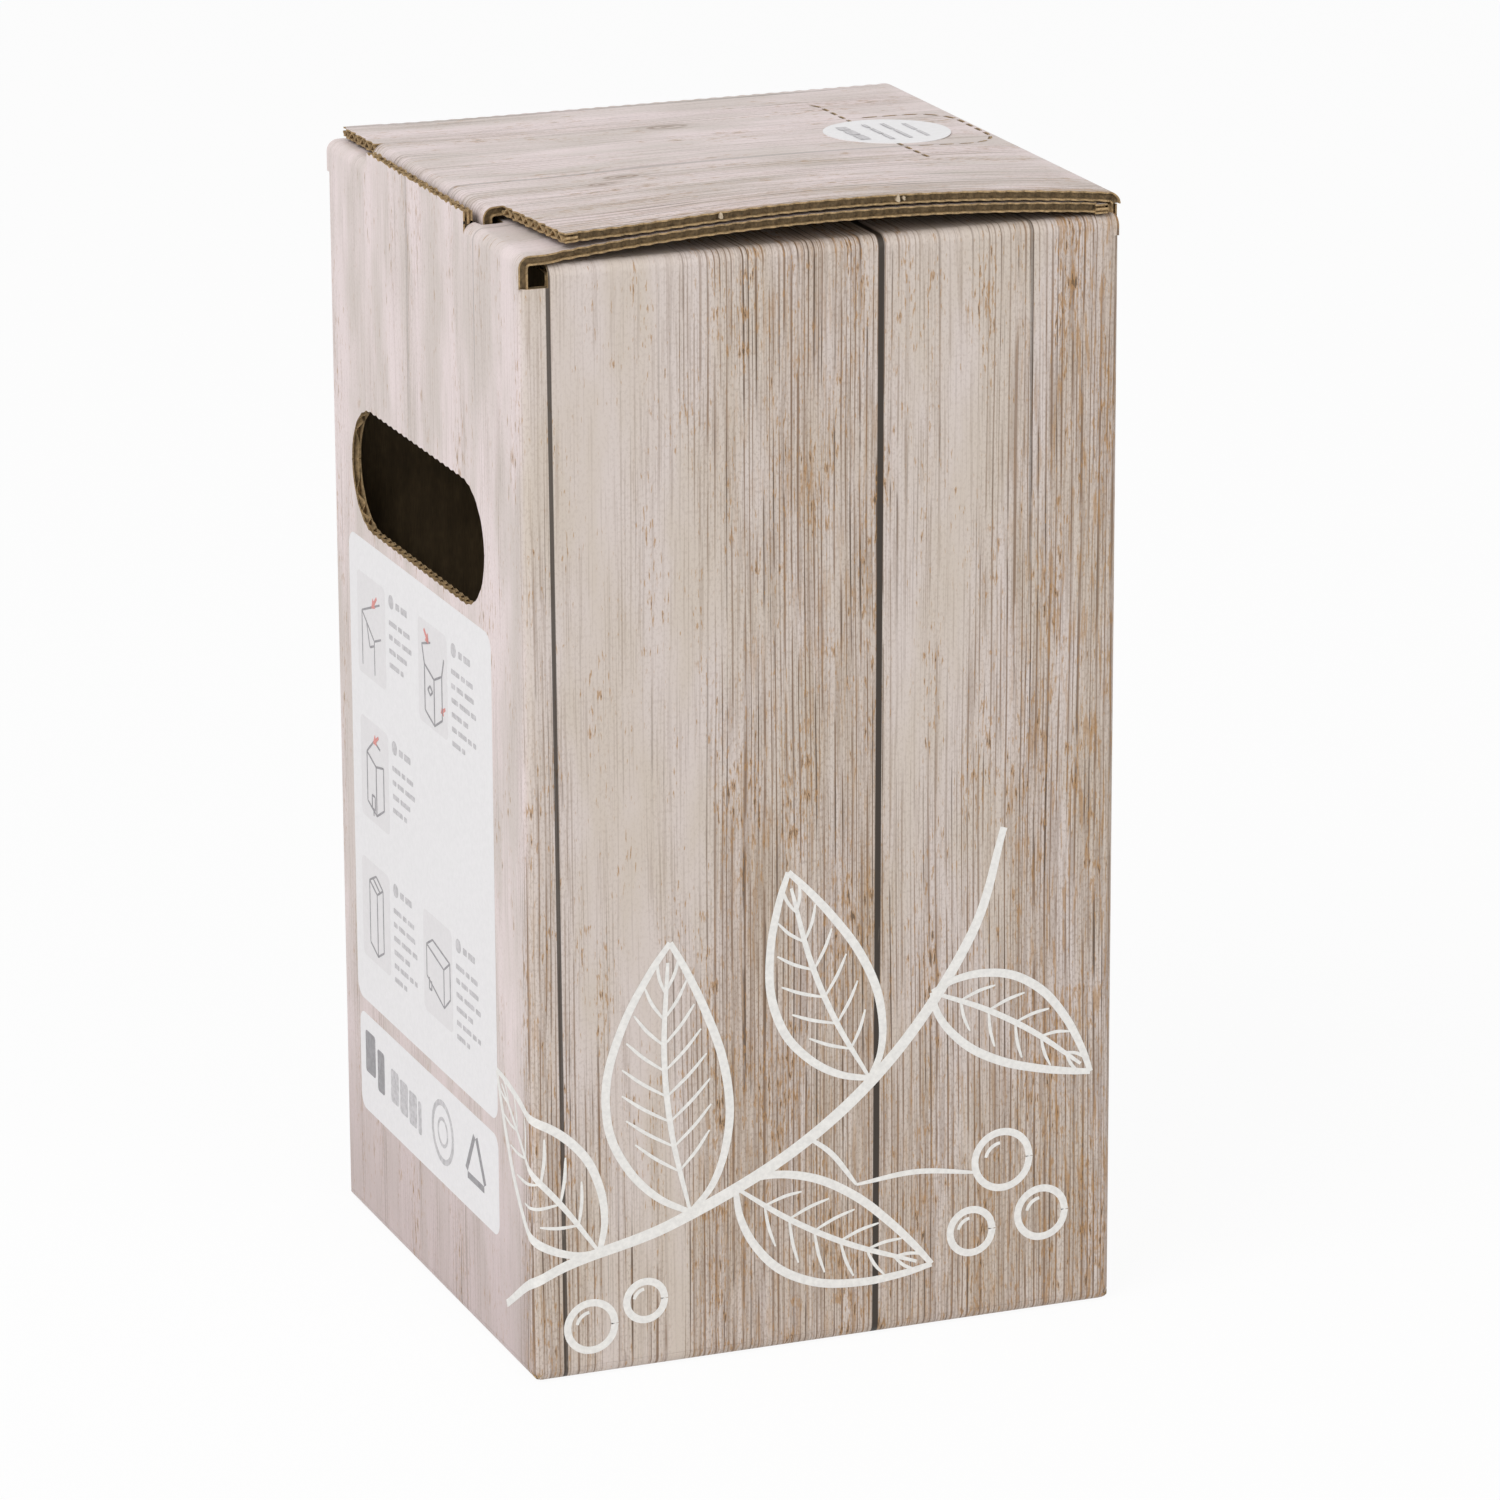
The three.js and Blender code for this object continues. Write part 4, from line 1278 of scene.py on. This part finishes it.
class CARTON_OT_stage(bpy.types.Operator):
    """Pale floor, soft studio light and the camera"""

    bl_idname = "carton.stage"
    bl_label = "Stage"

    def execute(self, context):
        scene = context.scene
        scene.view_settings.view_transform = "Standard"
        self.add_floor(scene)
        self.add_lights(scene)
        self.add_camera(scene)
        return {"FINISHED"}

    def add_floor(self, scene):
        mesh = bpy.data.meshes.new("floor")
        reach = 6.0
        corners = [(-reach, -reach, 0), (reach, -reach, 0), (reach, reach, 0), (-reach, reach, 0)]
        mesh.from_pydata(corners, [], [(0, 1, 2, 3)])
        floor = bpy.data.objects.new("floor", mesh)
        scene.collection.objects.link(floor)
        material, add, shader = new_material("matt_paper_backdrop", 0.95)
        shader.inputs["Base Color"].default_value = rgba(scene.carton_colours.floor)
        shader.inputs["Specular IOR Level"].default_value = 0.1
        # Lifts the floor to white for the camera only, and keeps the shadow on it
        tree = material.node_tree
        glow = add("Emission", {"Color": (1, 1, 1, 1), "Strength": 1.0})
        lifted = add("MixShader", (seen_directly(tree) * 0.93, Wire(shader.outputs[0]), glow))
        tree.links.new(lifted.socket, tree.nodes["Material Output"].inputs["Surface"])
        mesh.materials.append(material)

    def add_lights(self, scene):
        world = bpy.data.worlds.new("studio")
        scene.world = world
        world.use_nodes = True
        tree = world.node_tree
        background = tree.nodes["Background"]
        background.inputs["Color"].default_value = (1, 1, 1, 1)
        strength = seen_directly(tree) * 0.5 + 0.5
        tree.links.new(strength.socket, background.inputs["Strength"])
        for name, place, size, power in (
            ("key_softbox", (-1.5, -0.9, 1.9), 1.6, 30.0),
            ("front_softbox", (0.5, -2.2, 1.1), 1.4, 10.0),
        ):
            light = bpy.data.lights.new(name, "AREA")
            light.energy = power
            light.size = size
            lamp = bpy.data.objects.new(name, light)
            scene.collection.objects.link(lamp)
            lamp.location = place
            aim = Vector((0, 0, 0.12)) - Vector(place)
            lamp.rotation_euler = aim.to_track_quat("-Z", "Y").to_euler()

    def add_camera(self, scene):
        camera = bpy.data.cameras.new("photo_camera")
        camera.sensor_width = 36
        camera.lens = 174.6
        camera.clip_end = 50
        eye = bpy.data.objects.new("photo_camera", camera)
        scene.collection.objects.link(eye)
        azimuth, elevation = math.radians(21.31), math.radians(16.73)
        level = math.cos(elevation)
        ahead = Vector((math.sin(azimuth) * level, math.cos(azimuth) * level, -math.sin(elevation)))
        up = Vector((0.109, 0.2664, 0.9577))
        right = ahead.cross(up).normalized()
        up = right.cross(ahead)
        turn = Matrix((right, up, -ahead)).transposed()
        eye.matrix_world = Matrix.Translation((-0.531, -1.3795, 0.5565)) @ turn.to_4x4()
        scene.camera = eye


class CARTON_PT_panel(bpy.types.Panel):
    """Lists the carton's sizes, colours and pieces"""

    bl_idname = "CARTON_PT_panel"
    bl_label = "Bag in box carton"
    bl_space_type = "VIEW_3D"
    bl_region_type = "UI"
    bl_category = "Carton"

    def draw(self, context):
        for group in (context.scene.carton_sizes, context.scene.carton_colours):
            column = self.layout.column()
            for name in group.__annotations__:
                column.prop(group, name)
        for operator in OPERATORS:
            self.layout.operator(operator.bl_idname)


OPERATORS = (
    CARTON_OT_stage,
    CARTON_OT_walls,
    CARTON_OT_top_flaps,
    CARTON_OT_bottom_flaps,
    CARTON_OT_lid,
    CARTON_OT_front_art,
    CARTON_OT_instructions,
    CARTON_OT_perforation,
    CARTON_OT_seal,
)
CLASSES = (CartonSizes, CartonColours, *OPERATORS, CARTON_PT_panel)


def register():
    for item in CLASSES:
        bpy.utils.register_class(item)
    bpy.types.Scene.carton_sizes = PointerProperty(type=CartonSizes)
    bpy.types.Scene.carton_colours = PointerProperty(type=CartonColours)


def unregister():
    del bpy.types.Scene.carton_colours
    del bpy.types.Scene.carton_sizes
    for item in reversed(CLASSES):
        bpy.utils.unregister_class(item)


def main():
    register()
    bpy.ops.carton.stage()
    bpy.ops.carton.walls()
    bpy.ops.carton.top_flaps()
    bpy.ops.carton.bottom_flaps()
    bpy.ops.carton.lid()
    bpy.ops.carton.front_art()
    bpy.ops.carton.instructions()
    bpy.ops.carton.perforation()
    bpy.ops.carton.seal()


if __name__ == "__main__":
    main()
